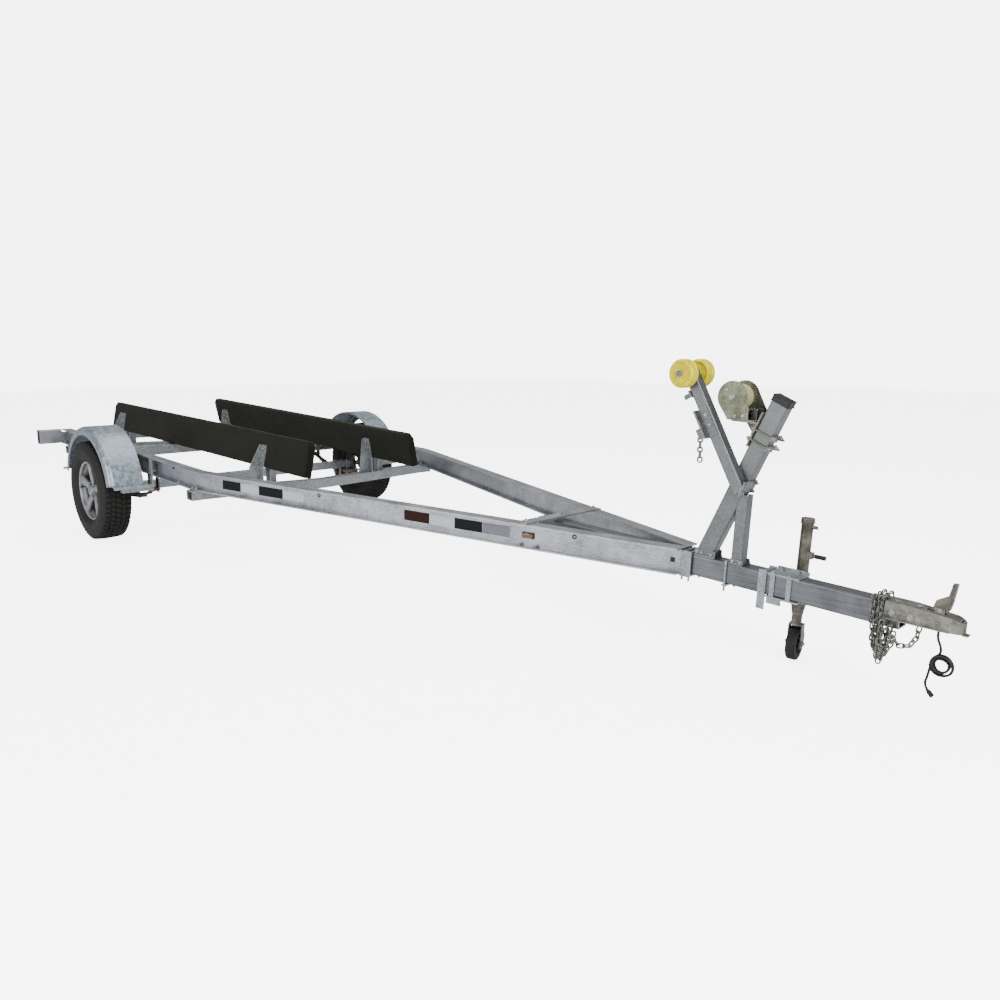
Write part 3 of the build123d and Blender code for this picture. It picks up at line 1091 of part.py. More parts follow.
def make_pieces():
    """Every node in the level frame, by name."""
    pieces = {}
    sided("beam", main_beam(), pieces)
    box = light_box()
    pieces["rear_crossmember"] = rear_crossmember() + box + mirrored(box)
    pieces["mid_crossmember"] = mid_crossmember()
    pieces["bunk_crossmembers"] = cambered_crossmember(CROSS_FRONT_X) + cambered_crossmember(CROSS_REAR_X)
    pieces["front_brace"] = front_brace()
    lamps = tail_lamp() + side_marker()
    pieces["lamps"] = lamps + mirrored(lamps)
    pieces["tongue"] = tongue()
    pieces["tongue_clamps"] = tongue_clamps()
    pieces["axle"] = axle()
    sided("leaf_spring", leaf_spring(), pieces)
    sided("tyre", tyre(), pieces)
    sided("wheel", rim(), pieces)
    sided("fender", fender(), pieces)
    pieces["fender_bars"] = fender_brackets()
    sided("bunk", bunk(), pieces)
    brackets = None
    for x in (CROSS_REAR_X, CROSS_FRONT_X):
        for side in (-1, 1):
            one = bunk_bracket(x, side)
            brackets = one if brackets is None else brackets + one
    pieces["bunk_brackets"] = brackets + mirrored(brackets)
    pieces["winch_post"] = winch_post()
    pieces["post_cap"] = post_cap()
    pieces["winch_strut"] = winch_strut()
    pieces["roller_arm"] = roller_arm()
    pieces["bow_roller_right"] = bow_roller(-1)
    pieces["bow_roller_left"] = bow_roller(1)
    pieces["stand_clamps"] = stand_clamps()
    pieces["bow_hook"] = arm_bracket()
    pieces["winch_frame"] = winch_frame() + winch_bracket()
    pieces["winch_drum"] = winch_drum()
    pieces["winch_strap"] = winch_strap()
    pieces["winch_crank"] = winch_crank()
    pieces["crank_grip"] = crank_grip()
    pieces["coupler"] = coupler()
    pieces["coupler_latch"] = coupler_latch()
    pieces["safety_chains"] = safety_chains()
    pieces["jack_mount"] = jack_mount()
    pieces["jack_tube"] = jack_tube()
    pieces["jack_leg"] = jack_leg()
    pieces["jack_fork"] = jack_fork()
    pieces["jack_wheel"] = jack_wheel()
    lead = cord_run(CORD_TOP_POINTS, corner_radii(CORD_TOP_POINTS))
    pieces["cord"] = lead + cord_run(CORD_TAIL_POINTS, corner_radii(CORD_TAIL_POINTS))
    pieces["cord_coil"] = coil()
    pieces["cord_plug"] = plug()
    return pieces


CORD_NODES = ("cord", "cord_coil", "cord_plug")


def main():
    """Build, park, centre and export every node."""
    os.makedirs("parts", exist_ok=True)
    pieces = {name: parked(shape) for name, shape in make_pieces().items()}
    boxes = [shape.bounding_box() for name, shape in pieces.items() if name not in CORD_NODES]
    shift_x = -(min(box.min.X for box in boxes) + max(box.max.X for box in boxes)) / 2
    shift_y = -(min(box.min.Y for box in boxes) + max(box.max.Y for box in boxes)) / 2
    for name, shape in pieces.items():
        placed = Pos(shift_x, shift_y, 0) * shape
        box = placed.bounding_box()
        print(f"{name:24s} solids {len(placed.solids())} volume {placed.volume / 1e6:9.4f} "
              f"x {box.min.X:8.1f} {box.max.X:8.1f} y {box.min.Y:8.1f} {box.max.Y:8.1f} "
              f"z {box.min.Z:7.1f} {box.max.Z:7.1f}")
        export_step(placed, f"parts/{name}.step")
    print("shift", round(shift_x, 4), round(shift_y, 4))
    print("cord radii", corner_radii(CORD_TOP_POINTS), corner_radii(CORD_TAIL_POINTS))


if __name__ == "__main__":
    main()
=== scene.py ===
"""Boat trailer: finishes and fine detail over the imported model.

Run in Blender 4.5. Every piece is laid out in the trailer's own level frame (metres, x forward from
the axle, y to the left, z up from the ground under the tyres) and set down in the parked attitude
by the matrix PARKED when it is finished.
"""
import math

import bmesh
import bpy
from bpy.props import FloatProperty, FloatVectorProperty, IntProperty, PointerProperty
from mathutils import Matrix, Vector


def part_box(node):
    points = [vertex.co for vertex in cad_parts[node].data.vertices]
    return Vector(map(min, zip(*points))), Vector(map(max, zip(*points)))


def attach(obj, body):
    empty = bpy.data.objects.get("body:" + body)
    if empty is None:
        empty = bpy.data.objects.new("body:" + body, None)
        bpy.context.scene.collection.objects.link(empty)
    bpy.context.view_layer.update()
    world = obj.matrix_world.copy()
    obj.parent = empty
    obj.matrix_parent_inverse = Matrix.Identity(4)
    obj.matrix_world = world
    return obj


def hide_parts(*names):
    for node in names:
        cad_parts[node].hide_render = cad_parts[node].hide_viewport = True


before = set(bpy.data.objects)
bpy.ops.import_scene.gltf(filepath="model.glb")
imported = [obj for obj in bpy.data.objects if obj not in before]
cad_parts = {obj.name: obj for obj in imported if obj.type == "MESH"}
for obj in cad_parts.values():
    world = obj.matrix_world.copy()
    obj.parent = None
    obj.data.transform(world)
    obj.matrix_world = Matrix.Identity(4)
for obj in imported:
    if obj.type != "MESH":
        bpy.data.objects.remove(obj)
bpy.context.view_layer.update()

bl_info = {
    "name": "Boat trailer",
    "version": (1, 0, 0),
    "blender": (4, 5, 0),
    "location": "3D View > Sidebar > Trailer",
    "description": "Builds the visible detail of a single-axle boat trailer",
    "category": "Object",
}

# ---------------------------------------------------------------- places in the level frame, metres
AXLE_Z = 0.344
# road wheels, tyres and leaf springs
TYRE_RADIUS = 0.344
TREAD_HALF, CROWN_DROP, CROWN_POWER = 0.082, 0.0050, 2.2
WHEEL_Y = 1.100
STUD_CIRCLE = 0.0530
SPRING_REACH, SPRING_EYE_Z, LEAF_Z = 0.400, 0.386, 0.308
LEAF_PITCH, LEAF_HALF = 0.007, 0.0215
# beams, tongue, lamps and bunks; the beams converge from BEND_X forward
BEAM_BOTTOM, BEAM_MID = 0.496, 0.555
BEAM_Y, BEAM_FRONT_Y = 0.886, 0.0416
BEND_X, BEAM_FRONT_X = 1.120, 4.040
CONVERGE = (BEAM_Y - BEAM_FRONT_Y) / (BEAM_FRONT_X - BEND_X)
WEB_HALF = 0.003
FLANGE_TOP = BEAM_BOTTOM + 0.0062
TONGUE_BOTTOM, TONGUE_TOP, TONGUE_HALF = 0.503, 0.595, 0.038
REAR_FACE_X, LAMP_Y, BOX_END_Y = -1.4172, 1.0085, 1.0923
TAPE_Z, MARKER_X = 0.557, 3.318
CROSS_XS = (-1.180, 1.100)
BUNK_REAR_X = -1.400
# winch stand, winch, jack and coupler
POST_X, STRUT_X = 4.134, 4.292
POST_FOOT = Vector((POST_X, 0, TONGUE_TOP))
POST_TOP = Vector((4.416, 0, 1.282))
ARM_FOOT = Vector((4.300, -0.051, 0.905))
ARM_TOP = Vector((4.026, -0.051, 1.366))
DRUM_X, DRUM_Z, WINCH_BASE_Z = 4.221, 1.282, 1.196
JACK_X, JACK_Y = 4.504, 0.141
COUPLER_REAR_X, COUPLER_LOW, COUPLER_TOP = 4.905, 0.538, 0.600
LATCH_X = 5.078
# chain links, and nuts by their size across the flats
LINK_LENGTH, LINK_WIDTH, LINK_WIRE = 0.034, 0.024, 0.0065
LINK_LEAN = math.radians(45)
NUT_12, NUT_14, NUT_17, NUT_19, NUT_22 = 0.012, 0.014, 0.017, 0.019, 0.022

# lamp lead: straight down from its exit, round its coil and down to the plug
CORD_DIAMETER = 0.009
CORD_TOP = [(5.092, -0.041, 0.538), (5.092, -0.041, 0.512), (5.106, -0.041, 0.488), (5.1108, -0.041, 0.4598)]
COIL_CENTRE = (5.118, -0.041, 0.418)
COIL_TURNS, COIL_STEP, COIL_START = 4.11, math.radians(27), math.radians(150)
CORD_TAIL = [(5.078, -0.041, 0.364), (5.073, -0.041, 0.342), (5.079, -0.041, 0.322), (5.093, -0.041, 0.308)]

# parked on its wheels and jack, nose up by this much about the axle
PARK_PITCH = math.radians(2.47)
LOW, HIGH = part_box("tyre_left")
ORIGIN_X = (LOW[0] + HIGH[0]) / 2
PARKED = (Matrix.Translation((ORIGIN_X, 0, AXLE_Z)) @ Matrix.Rotation(PARK_PITCH, 4, "Y")
          @ Matrix.Translation((0, 0, -AXLE_Z)))

# camera for a square render: place from the axle, turn, dip, focal length and centre in pixels
CAMERA_AT = (5.9617, -3.0364, 1.2606)
CAMERA_TURN = math.radians(45.8255)
CAMERA_DIP = math.radians(10.6978)
FOCAL_PIXELS = 813.5088
RENDER_CENTRE = (495.4802, 510.0389)
RENDER_PIXELS = 1000
SENSOR = 36.0
# shares of the key light in each fill light, and of the backdrop in the paper's glow
FILL_SHARE, PAPER_SHARE = 0.45, 0.8


# ---------------------------------------------------------------- finishes
def linear(text):
    """Hex sRGB colour as linear RGBA."""
    channels = [int(text[i:i + 2], 16) / 255 for i in (1, 3, 5)]
    return (*[c / 12.92 if c <= 0.04045 else ((c + 0.055) / 1.055) ** 2.4 for c in channels], 1.0)


def per(millimetres):
    """Pattern scale for a feature of that size."""
    return 1000 / millimetres


# radians from one band of a wave texture to the next, rounded
WAVE_TURN = 6.28


def node(tree, kind, inputs=None, **settings):
    """Adds a shader node, applies its settings, and links or sets its inputs by name or index."""
    made = tree.nodes.new("ShaderNode" + kind)
    for key, value in settings.items():
        setattr(made, key, value)
    for key, value in (inputs or {}).items():
        if isinstance(value, bpy.types.NodeSocket):
            tree.links.new(value, made.inputs[key])
        else:
            made.inputs[key].default_value = value
    return made


def start(name):
    """New material: its tree, its shader and its object coordinates."""
    look = bpy.data.materials.new(name)
    look.use_nodes = True
    tree = look.node_tree
    return look, tree, tree.nodes["Principled BSDF"], node(tree, "TexCoord").outputs["Object"]


def dress(tree, shader, **inputs):
    """Links or sets the shader's inputs; an underscore in a name stands for a space."""
    for key, value in inputs.items():
        socket = shader.inputs[key.replace("_", " ")]
        if isinstance(value, bpy.types.NodeSocket):
            tree.links.new(value, socket)
        else:
            socket.default_value = value


def edge_wear_and_highlight(tree, radius):
    """1 along outer edges and 0 on flats: how far the rounded normal leans from the true one; the callers
    lighten these edges as rubbed wear and painted highlight.
    """
    bevel = node(tree, "Bevel", {"Radius": radius}, samples=4)
    face = node(tree, "NewGeometry")
    lean = node(tree, "VectorMath", {0: bevel.outputs["Normal"], 1: face.outputs["Normal"]},
                operation="DOT_PRODUCT")
    return node(tree, "MapRange", {"Value": lean.outputs["Value"], "From Min": 0.995,
                                   "From Max": 0.90}).outputs[0]


def aluminium(name, dull, bright, rough):
    """Extruded aluminium: die lines along its length, chalky oxide clouds, edges lightened as rubbed wear and
    painted highlight.
    """
    look, tree, shader, where = start(name)
    drawn = node(tree, "Mapping", {"Vector": where, "Scale": (0.02, 1, 1)}).outputs[0]
    # die lines 6 mm apart, coarser than the real ones so that they show
    lines = node(tree, "TexNoise", {"Vector": drawn, "Scale": per(6), "Detail": 3.0,
                                    "Roughness": 0.6}).outputs[0]
    # oxide clouds a hand across
    clouds = node(tree, "TexNoise", {"Vector": where, "Scale": per(160), "Detail": 6.0,
                                     "Roughness": 0.62}).outputs[0]
    streak = node(tree, "Mix", {0: 0.45, 2: clouds, 3: lines}).outputs[0]
    tone = node(tree, "MapRange", {"Value": streak, "From Min": 0.36, "From Max": 0.66}).outputs[0]
    base = node(tree, "Mix", {0: tone, 6: linear(dull), 7: linear(bright)}, data_type="RGBA").outputs[2]
    # road film in patches
    film = node(tree, "TexNoise", {"Vector": where, "Scale": per(42), "Detail": 8.0,
                                   "Roughness": 0.7}).outputs[0]
    film = node(tree, "MapRange", {"Value": film, "From Min": 0.55, "From Max": 0.75,
                                   "To Max": 0.4}).outputs[0]
    base = node(tree, "Mix", {0: film, 6: base, 7: linear("#6F6B64")}, data_type="RGBA").outputs[2]
    # rubbed wear and painted highlight: outer edges mixed towards a pale grey
    base = node(tree, "Mix", {0: edge_wear_and_highlight(tree, 0.0012), 6: base, 7: linear("#DDE0E2")},
                data_type="RGBA").outputs[2]
    gloss = node(tree, "MapRange", {"Value": streak, "From Min": 0.3, "From Max": 0.7, "To Min": rough - 0.08,
                                    "To Max": rough + 0.12}).outputs[0]
    relief = node(tree, "Bump", {"Height": streak, "Distance": 0.0003, "Strength": 0.45}).outputs[0]
    dress(tree, shader, Base_Color=base, Metallic=0.85, Roughness=gloss, Normal=relief)
    return look


def galvanised(name, dark, light, crystal=14.0):
    """Hot-dipped zinc: flat crystal spangle, each crystal its own grey, over soft cloudy drainage."""
    look, tree, shader, where = start(name)
    warp = node(tree, "TexNoise", {"Vector": where, "Scale": per(crystal * 1.4), "Detail": 2.0}).outputs[1]
    bent = node(tree, "VectorMath", {0: warp, 1: (0.006, 0.006, 0.006), 2: where}, operation="MULTIPLY_ADD")
    spangle = node(tree, "TexVoronoi", {"Vector": bent.outputs[0], "Scale": per(crystal)}).outputs["Color"]
    facet = node(tree, "SeparateColor", {"Color": spangle}).outputs["Red"]
    clouds = node(tree, "TexNoise", {"Vector": where, "Scale": per(110), "Detail": 5.0,
                                     "Roughness": 0.6}).outputs[0]
    tone = node(tree, "Mix", {0: 0.6, 2: facet, 3: clouds}).outputs[0]
    tone = node(tree, "MapRange", {"Value": tone, "From Min": 0.15, "From Max": 0.85}).outputs[0]
    base = node(tree, "Mix", {0: tone, 6: linear(dark), 7: linear(light)}, data_type="RGBA").outputs[2]
    grime = node(tree, "TexNoise", {"Vector": where, "Scale": per(30), "Detail": 8.0,
                                    "Roughness": 0.72}).outputs[0]
    grime = node(tree, "MapRange", {"Value": grime, "From Min": 0.56, "From Max": 0.74,
                                    "To Max": 0.28}).outputs[0]
    base = node(tree, "Mix", {0: grime, 6: base, 7: linear("#4E4B45")}, data_type="RGBA").outputs[2]
    # rubbed wear and painted highlight: outer edges mixed towards a pale grey
    base = node(tree, "Mix", {0: edge_wear_and_highlight(tree, 0.0010), 6: base, 7: linear("#D2D4D5")},
                data_type="RGBA").outputs[2]
    gloss = node(tree, "MapRange", {"Value": facet, "To Min": 0.34, "To Max": 0.56}).outputs[0]
    relief = node(tree, "Bump", {"Height": facet, "Distance": 0.00012, "Strength": 0.4}).outputs[0]
    dress(tree, shader, Base_Color=base, Metallic=0.75, Roughness=gloss, Normal=relief)
    return look


def plated_steel(name, low, high, stain):
    """Zinc-plated pressed steel gone dull: warm grey, brown stain in the lows, edges lightened as rubbed wear
    and painted highlight.
    """
    look, tree, shader, where = start(name)
    clouds = node(tree, "TexNoise", {"Vector": where, "Scale": per(45), "Detail": 6.0,
                                     "Roughness": 0.62}).outputs[0]
    tone = node(tree, "MapRange", {"Value": clouds, "From Min": 0.3, "From Max": 0.7}).outputs[0]
    base = node(tree, "Mix", {0: tone, 6: linear(low), 7: linear(high)}, data_type="RGBA").outputs[2]
    # stain speckle a few millimetres across
    spots = node(tree, "TexNoise", {"Vector": where, "Scale": per(9), "Detail": 7.0,
                                    "Roughness": 0.72}).outputs[0]
    mark = node(tree, "MapRange", {"Value": spots, "From Min": 0.53, "From Max": 0.72,
                                   "To Max": 0.7}).outputs[0]
    base = node(tree, "Mix", {0: mark, 6: base, 7: linear(stain)}, data_type="RGBA").outputs[2]
    # rubbed wear and painted highlight: outer edges mixed towards a pale grey
    base = node(tree, "Mix", {0: edge_wear_and_highlight(tree, 0.0008), 6: base, 7: linear("#CFCDC6")},
                data_type="RGBA").outputs[2]
    gloss = node(tree, "MapRange", {"Value": spots, "From Min": 0.3, "From Max": 0.7, "To Min": 0.34,
                                    "To Max": 0.62}).outputs[0]
    relief = node(tree, "Bump", {"Height": spots, "Distance": 0.0003, "Strength": 0.5}).outputs[0]
    dress(tree, shader, Base_Color=base, Metallic=0.72, Roughness=gloss, Normal=relief)
    return look


def moulded(name, dark, light, speck, rough, depth):
    """Rubber or plastic from a mould: near-black body greyed by dust, with a fine pebbled skin."""
    look, tree, shader, where = start(name)
    dust = node(tree, "TexNoise", {"Vector": where, "Scale": per(90), "Detail": 7.0,
                                   "Roughness": 0.66}).outputs[0]
    dust = node(tree, "MapRange", {"Value": dust, "From Min": 0.4, "From Max": 0.72,
                                   "To Max": 0.85}).outputs[0]
    base = node(tree, "Mix", {0: dust, 6: linear(dark), 7: linear(light)}, data_type="RGBA").outputs[2]
    skin = node(tree, "TexNoise", {"Vector": where, "Scale": per(speck), "Detail": 3.0,
                                   "Roughness": 0.6}).outputs[0]
    gloss = node(tree, "MapRange", {"Value": dust, "To Min": rough, "To Max": rough + 0.22}).outputs[0]
    relief = node(tree, "Bump", {"Height": skin, "Distance": depth, "Strength": 0.6}).outputs[0]
    dress(tree, shader, Base_Color=base, Roughness=gloss, Normal=relief, Specular_IOR_Level=0.28)
    return look


def wheel_enamel():
    """Silver wheel enamel: metal flake under clear coat, brown brake dust in patches, and painted shade
    darkening the barrel inboard of the spokes.
    """
    look, tree, shader, where = start("wheel_enamel")
    # flake drawn at 1.5 mm so that it shows
    flake = node(tree, "TexVoronoi", {"Vector": where, "Scale": per(1.5)}).outputs["Color"]
    flake = node(tree, "SeparateColor", {"Color": flake}).outputs["Red"]
    base = node(tree, "Mix", {0: flake, 6: linear("#6A6C70"), 7: linear("#8A8C90")},
                data_type="RGBA").outputs[2]
    dust_and_shade = node(tree, "TexNoise", {"Vector": where, "Scale": per(34), "Detail": 8.0,
                                   "Roughness": 0.72}).outputs[0]
    dust_and_shade = node(tree, "MapRange", {"Value": dust_and_shade, "From Min": 0.46, "From Max": 0.72,
                                   "To Max": 0.7}).outputs[0]
    # painted shade: the barrel inboard of the spokes is darkened
    across = node(tree, "SeparateXYZ", {"Vector": where}).outputs["Y"]
    across = node(tree, "Math", {0: across}, operation="ABSOLUTE").outputs[0]
    barrel_shade = node(tree, "MapRange", {"Value": across, "From Min": WHEEL_Y + 0.034, "From Max": WHEEL_Y + 0.056,
                                    "To Min": 0.95, "To Max": 0.0}).outputs[0]
    # real dust patches and the painted barrel shade share one mask, mixed towards dark brown
    dust_and_shade = node(tree, "Math", {0: dust_and_shade, 1: barrel_shade}, operation="MAXIMUM").outputs[0]
    base = node(tree, "Mix", {0: dust_and_shade, 6: base, 7: linear("#26211B")}, data_type="RGBA").outputs[2]
    gloss = node(tree, "MapRange", {"Value": dust_and_shade, "To Min": 0.42, "To Max": 0.7}).outputs[0]
    dress(tree, shader, Base_Color=base, Metallic=0.55, Roughness=gloss, Coat_Weight=0.12,
          Coat_Roughness=0.25)
    return look


def marine_carpet(tint):
    """Needle-punched polypropylene carpet: short tangled charcoal fibre with faint olive fading."""
    look, tree, shader, where = start("marine_carpet")
    # fibre tufts drawn at 3 mm
    fibre = node(tree, "TexNoise", {"Vector": where, "Scale": per(3), "Detail": 5.0,
                                    "Roughness": 0.75}).outputs[0]
    tuft = node(tree, "TexVoronoi", {"Vector": where, "Scale": per(4)}).outputs["Distance"]
    nap = node(tree, "Mix", {0: 0.5, 2: fibre, 3: tuft}).outputs[0]
    tone = node(tree, "MapRange", {"Value": nap, "From Min": 0.25, "From Max": 0.65}).outputs[0]
    base = node(tree, "Mix", {0: tone, 6: linear("#060605"), 7: tint}, data_type="RGBA").outputs[2]
    faded = node(tree, "TexNoise", {"Vector": where, "Scale": per(150), "Detail": 5.0}).outputs[0]
    faded = node(tree, "MapRange", {"Value": faded, "From Min": 0.45, "From Max": 0.75,
                                    "To Max": 0.5}).outputs[0]
    base = node(tree, "Mix", {0: faded, 6: base, 7: linear("#1B1B10")}, data_type="RGBA").outputs[2]
    relief = node(tree, "Bump", {"Height": nap, "Distance": 0.0022, "Strength": 0.9}).outputs[0]
    dress(tree, shader, Base_Color=base, Roughness=0.95, Normal=relief, Sheen_Weight=0.04,
          Sheen_Roughness=0.5, Specular_IOR_Level=0.08)
    return look


def roller_vinyl(tint):
    """Translucent yellow roller vinyl: light glows in the thin ribs, scuffs cloud the tread."""
    look, tree, shader, where = start("roller_vinyl")
    scuff = node(tree, "TexNoise", {"Vector": where, "Scale": per(22), "Detail": 6.0,
                                    "Roughness": 0.65}).outputs[0]
    tone = node(tree, "MapRange", {"Value": scuff, "From Min": 0.35, "From Max": 0.7}).outputs[0]
    base = node(tree, "Mix", {0: tone, 6: tint, 7: linear("#C8C400")}, data_type="RGBA").outputs[2]
    gloss = node(tree, "MapRange", {"Value": scuff, "From Min": 0.3, "From Max": 0.7, "To Min": 0.34,
                                    "To Max": 0.55}).outputs[0]
    dress(tree, shader, Base_Color=base, Roughness=gloss, Specular_IOR_Level=0.16,
          Subsurface_Weight=0.12, Subsurface_Scale=0.01, Subsurface_Radius=(1.0, 0.8, 0.02))
    return look


def strap_webbing():
    """Polyester winch webbing: olive-yellow yarn in a tight twill, dusty at the folds."""
    look, tree, shader, where = start("strap_webbing")
    # yarns about 2 mm wide across the strap and along its turns
    across = node(tree, "TexWave", {"Vector": where, "Scale": per(2) / WAVE_TURN, "Distortion": 1.0},
                  bands_direction="Y").outputs["Fac"]
    along = node(tree, "TexWave", {"Vector": where, "Scale": per(3) / WAVE_TURN, "Distortion": 1.0},
                 bands_direction="Z").outputs["Fac"]
    weave = node(tree, "Math", {0: across, 1: along}, operation="MULTIPLY").outputs[0]
    base = node(tree, "Mix", {0: weave, 6: linear("#6C6A38"), 7: linear("#C6C27A")},
                data_type="RGBA").outputs[2]
    dust = node(tree, "TexNoise", {"Vector": where, "Scale": per(25), "Detail": 5.0}).outputs[0]
    dust = node(tree, "MapRange", {"Value": dust, "From Min": 0.45, "From Max": 0.75,
                                   "To Max": 0.6}).outputs[0]
    base = node(tree, "Mix", {0: dust, 6: base, 7: linear("#8E8C74")}, data_type="RGBA").outputs[2]
    relief = node(tree, "Bump", {"Height": weave, "Distance": 0.0006, "Strength": 0.8}).outputs[0]
    dress(tree, shader, Base_Color=base, Roughness=0.85, Normal=relief, Sheen_Weight=0.2)
    return look


def lens_acrylic(name, deep, bright):
    """Lamp lens acrylic: clear skin over a prism grid that breaks the colour up."""
    look, tree, shader, where = start(name)
    # prisms 4 mm across
    prism = node(tree, "TexVoronoi", {"Vector": where, "Scale": per(4)},
                 distance="CHEBYCHEV").outputs["Distance"]
    base = node(tree, "Mix", {0: prism, 6: linear(bright), 7: linear(deep)}, data_type="RGBA").outputs[2]
    relief = node(tree, "Bump", {"Height": prism, "Distance": 0.0006, "Strength": 0.5}).outputs[0]
    dress(tree, shader, Base_Color=base, Roughness=0.12, Normal=relief, Coat_Weight=0.6,
          Subsurface_Weight=0.15)
    return look


def reflective_tape(name, tint, cell):
    """Reflective sheeting: diamond cells under clear film, scuffed through to grey in spots."""
    look, tree, shader, where = start(name)
    # cells drawn at 5 mm
    cells = node(tree, "TexVoronoi", {"Vector": where, "Scale": per(5)},
                 distance="MANHATTAN").outputs["Distance"]
    base = node(tree, "Mix", {0: cells, 6: linear(tint), 7: linear(cell)}, data_type="RGBA").outputs[2]
    scuff = node(tree, "TexNoise", {"Vector": where, "Scale": per(18), "Detail": 8.0,
                                    "Roughness": 0.75}).outputs[0]
    scuff = node(tree, "MapRange", {"Value": scuff, "From Min": 0.60, "From Max": 0.76,
                                    "To Max": 0.35}).outputs[0]
    base = node(tree, "Mix", {0: scuff, 6: base, 7: linear("#5C5F62")}, data_type="RGBA").outputs[2]
    dress(tree, shader, Base_Color=base, Roughness=0.55, Specular_IOR_Level=0.1)
    return look


def studio_paper(tint):
    """Matt backdrop paper with a trace of unevenness."""
    look, tree, shader, where = start("studio_paper")
    cloud = node(tree, "TexNoise", {"Vector": where, "Scale": per(900), "Detail": 3.0}).outputs[0]
    base = node(tree, "Mix", {0: cloud, 6: tint, 7: linear("#F4F4F4")}, data_type="RGBA").outputs[2]
    # the paper is lit from within for the eye alone, so that it stays pale behind dull metal
    seen = node(tree, "LightPath").outputs["Is Camera Ray"]
    glow = node(tree, "Math", {0: seen, 1: sizes().backdrop * PAPER_SHARE}, operation="MULTIPLY").outputs[0]
    dress(tree, shader, Base_Color=base, Roughness=0.95, Specular_IOR_Level=0.1,
          Emission_Color=linear("#FFFFFF"), Emission_Strength=glow)
    return look


FINISHES = {
    "beam": lambda: aluminium("beam_aluminium", "#6E7176", "#A6A9AE", 0.36),
    # painted shade: the tongue is a darker copy of the beams' aluminium, for the shade on its sides
    "tongue": lambda: aluminium("tongue_aluminium_shaded", "#434548", "#65676C", 0.36),
    "stand": lambda: galvanised("stand_galvanised", "#46494B", "#66696A", 7.0),
    "galv": lambda: galvanised("bracket_galvanised", "#5A5F63", "#8F9497", 9.0),
    "fender": lambda: galvanised("fender_plate", "#616B75", "#99A3AC", 16.0),
    "zinc": lambda: plated_steel("coupler_zinc", "#3C3B36", "#807F77", "#26231B"),
    "jack": lambda: plated_steel("jack_zinc", "#2C2B26", "#6A675E", "#201C15"),
    "winch": lambda: plated_steel("winch_zinc", "#3E4036", "#70735F", "#2A2B22"),
    "chain": lambda: plated_steel("chain_zinc", "#30312E", "#6C6D66", "#26231B"),
    "dark": lambda: plated_steel("spring_steel", "#241F1B", "#574B40", "#6A3E20"),
    "bolt": lambda: plated_steel("bolt_zinc", "#55565A", "#94959A", "#3A362E"),
    "rubber": lambda: moulded("tyre_rubber", "#060606", "#16150F", 2.0, 0.66, 0.0002),
    "caster": lambda: moulded("caster_rubber", "#060606", "#141311", 2.5, 0.60, 0.0002),
    "plastic": lambda: moulded("black_plastic", "#080809", "#161618", 2.0, 0.45, 0.0001),
    "cord": lambda: moulded("cord_vinyl", "#060606", "#17160F", 3.0, 0.42, 0.0002),
    "enamel": wheel_enamel,
    "carpet": lambda: marine_carpet((*sizes().carpet_tint, 1.0)),
    "roller": lambda: roller_vinyl((*sizes().roller_tint, 1.0)),
    "strap": strap_webbing,
    "red": lambda: lens_acrylic("lens_red", "#5A0505", "#C01812"),
    "amber": lambda: lens_acrylic("lens_amber", "#2C1407", "#523018"),
    "tape_light": lambda: reflective_tape("tape_light", "#B4B7BB", "#8E9297"),
    "tape_dark": lambda: reflective_tape("tape_dark", "#050506", "#0C0D0F"),
    "tape_red": lambda: reflective_tape("tape_red", "#140503", "#220B05"),
    "tape_lilac": lambda: reflective_tape("tape_lilac", "#6E6C75", "#5A5861"),
    "paper": lambda: studio_paper((*sizes().floor_tint, 1.0)),
}
mixed = {}


def finish(name):
    """The named finish, mixed once."""
    if name not in mixed:
        mixed[name] = FINISHES[name]()
    return mixed[name]


# ---------------------------------------------------------------- mesh tools
def turned(along, across=None):
    """Turn that takes z to the direction `along`, and x as near `across` as it can."""
    z = Vector(along).normalized()
    hint = Vector(across) if across else (Vector((0, 0, 1)) if abs(z.z) < 0.9 else Vector((1, 0, 0)))
    x = (hint - z * hint.dot(z)).normalized()
    return Matrix((x, z.cross(x), z)).transposed().to_4x4()


def at(x, y, z):
    """Move to a place."""
    return Matrix.Translation((x, y, z))


def turns(place, count, shift=0.0):
    """Equal turns about the z of a place, the first one moved on by a share of a step."""
    return [place @ Matrix.Rotation(math.tau * (i + shift) / count, 4, "Z") for i in range(count)]


def whole(bm):
    """All of a shape's corners, edges and faces."""
    return [*bm.verts, *bm.edges, *bm.faces]


def add(bm, shape, *places, skin=0):
    """Stamps a shape into a piece at each place, with one finish number or its own, and frees the shape."""
    for face in shape.faces:
        face.material_index = face.material_index if skin is None else skin
        face.smooth = True
    stamp = bpy.data.meshes.new("stamp")
    shape.to_mesh(stamp)
    shape.free()
    for place in places or (Matrix.Identity(4),):
        moved = stamp.copy()
        moved.transform(place)
        bm.from_mesh(moved)
        bpy.data.meshes.remove(moved)
    bpy.data.meshes.remove(stamp)


def soften(bm, radius, segments=2, sharper=30):
    """Rounds every edge that turns by more than the given angle."""
    edges = [e for e in bm.edges if len(e.link_faces) == 2 and e.calc_face_angle(0) > math.radians(sharper)]
    if edges and radius:
        bmesh.ops.bevel(bm, geom=edges, offset=radius, offset_type="OFFSET", segments=segments, profile=0.5,
                        affect="EDGES", clamp_overlap=True, material=-1)


def block(low, high, radius=0.0015, segments=2):
    """Block between two corners."""
    bm = bmesh.new()
    bmesh.ops.create_cube(bm, size=1.0)
    low, high = Vector(low), Vector(high)
    bmesh.ops.scale(bm, vec=high - low, verts=bm.verts)
    bmesh.ops.translate(bm, vec=(low + high) / 2, verts=bm.verts)
    soften(bm, radius, segments)
    return bm


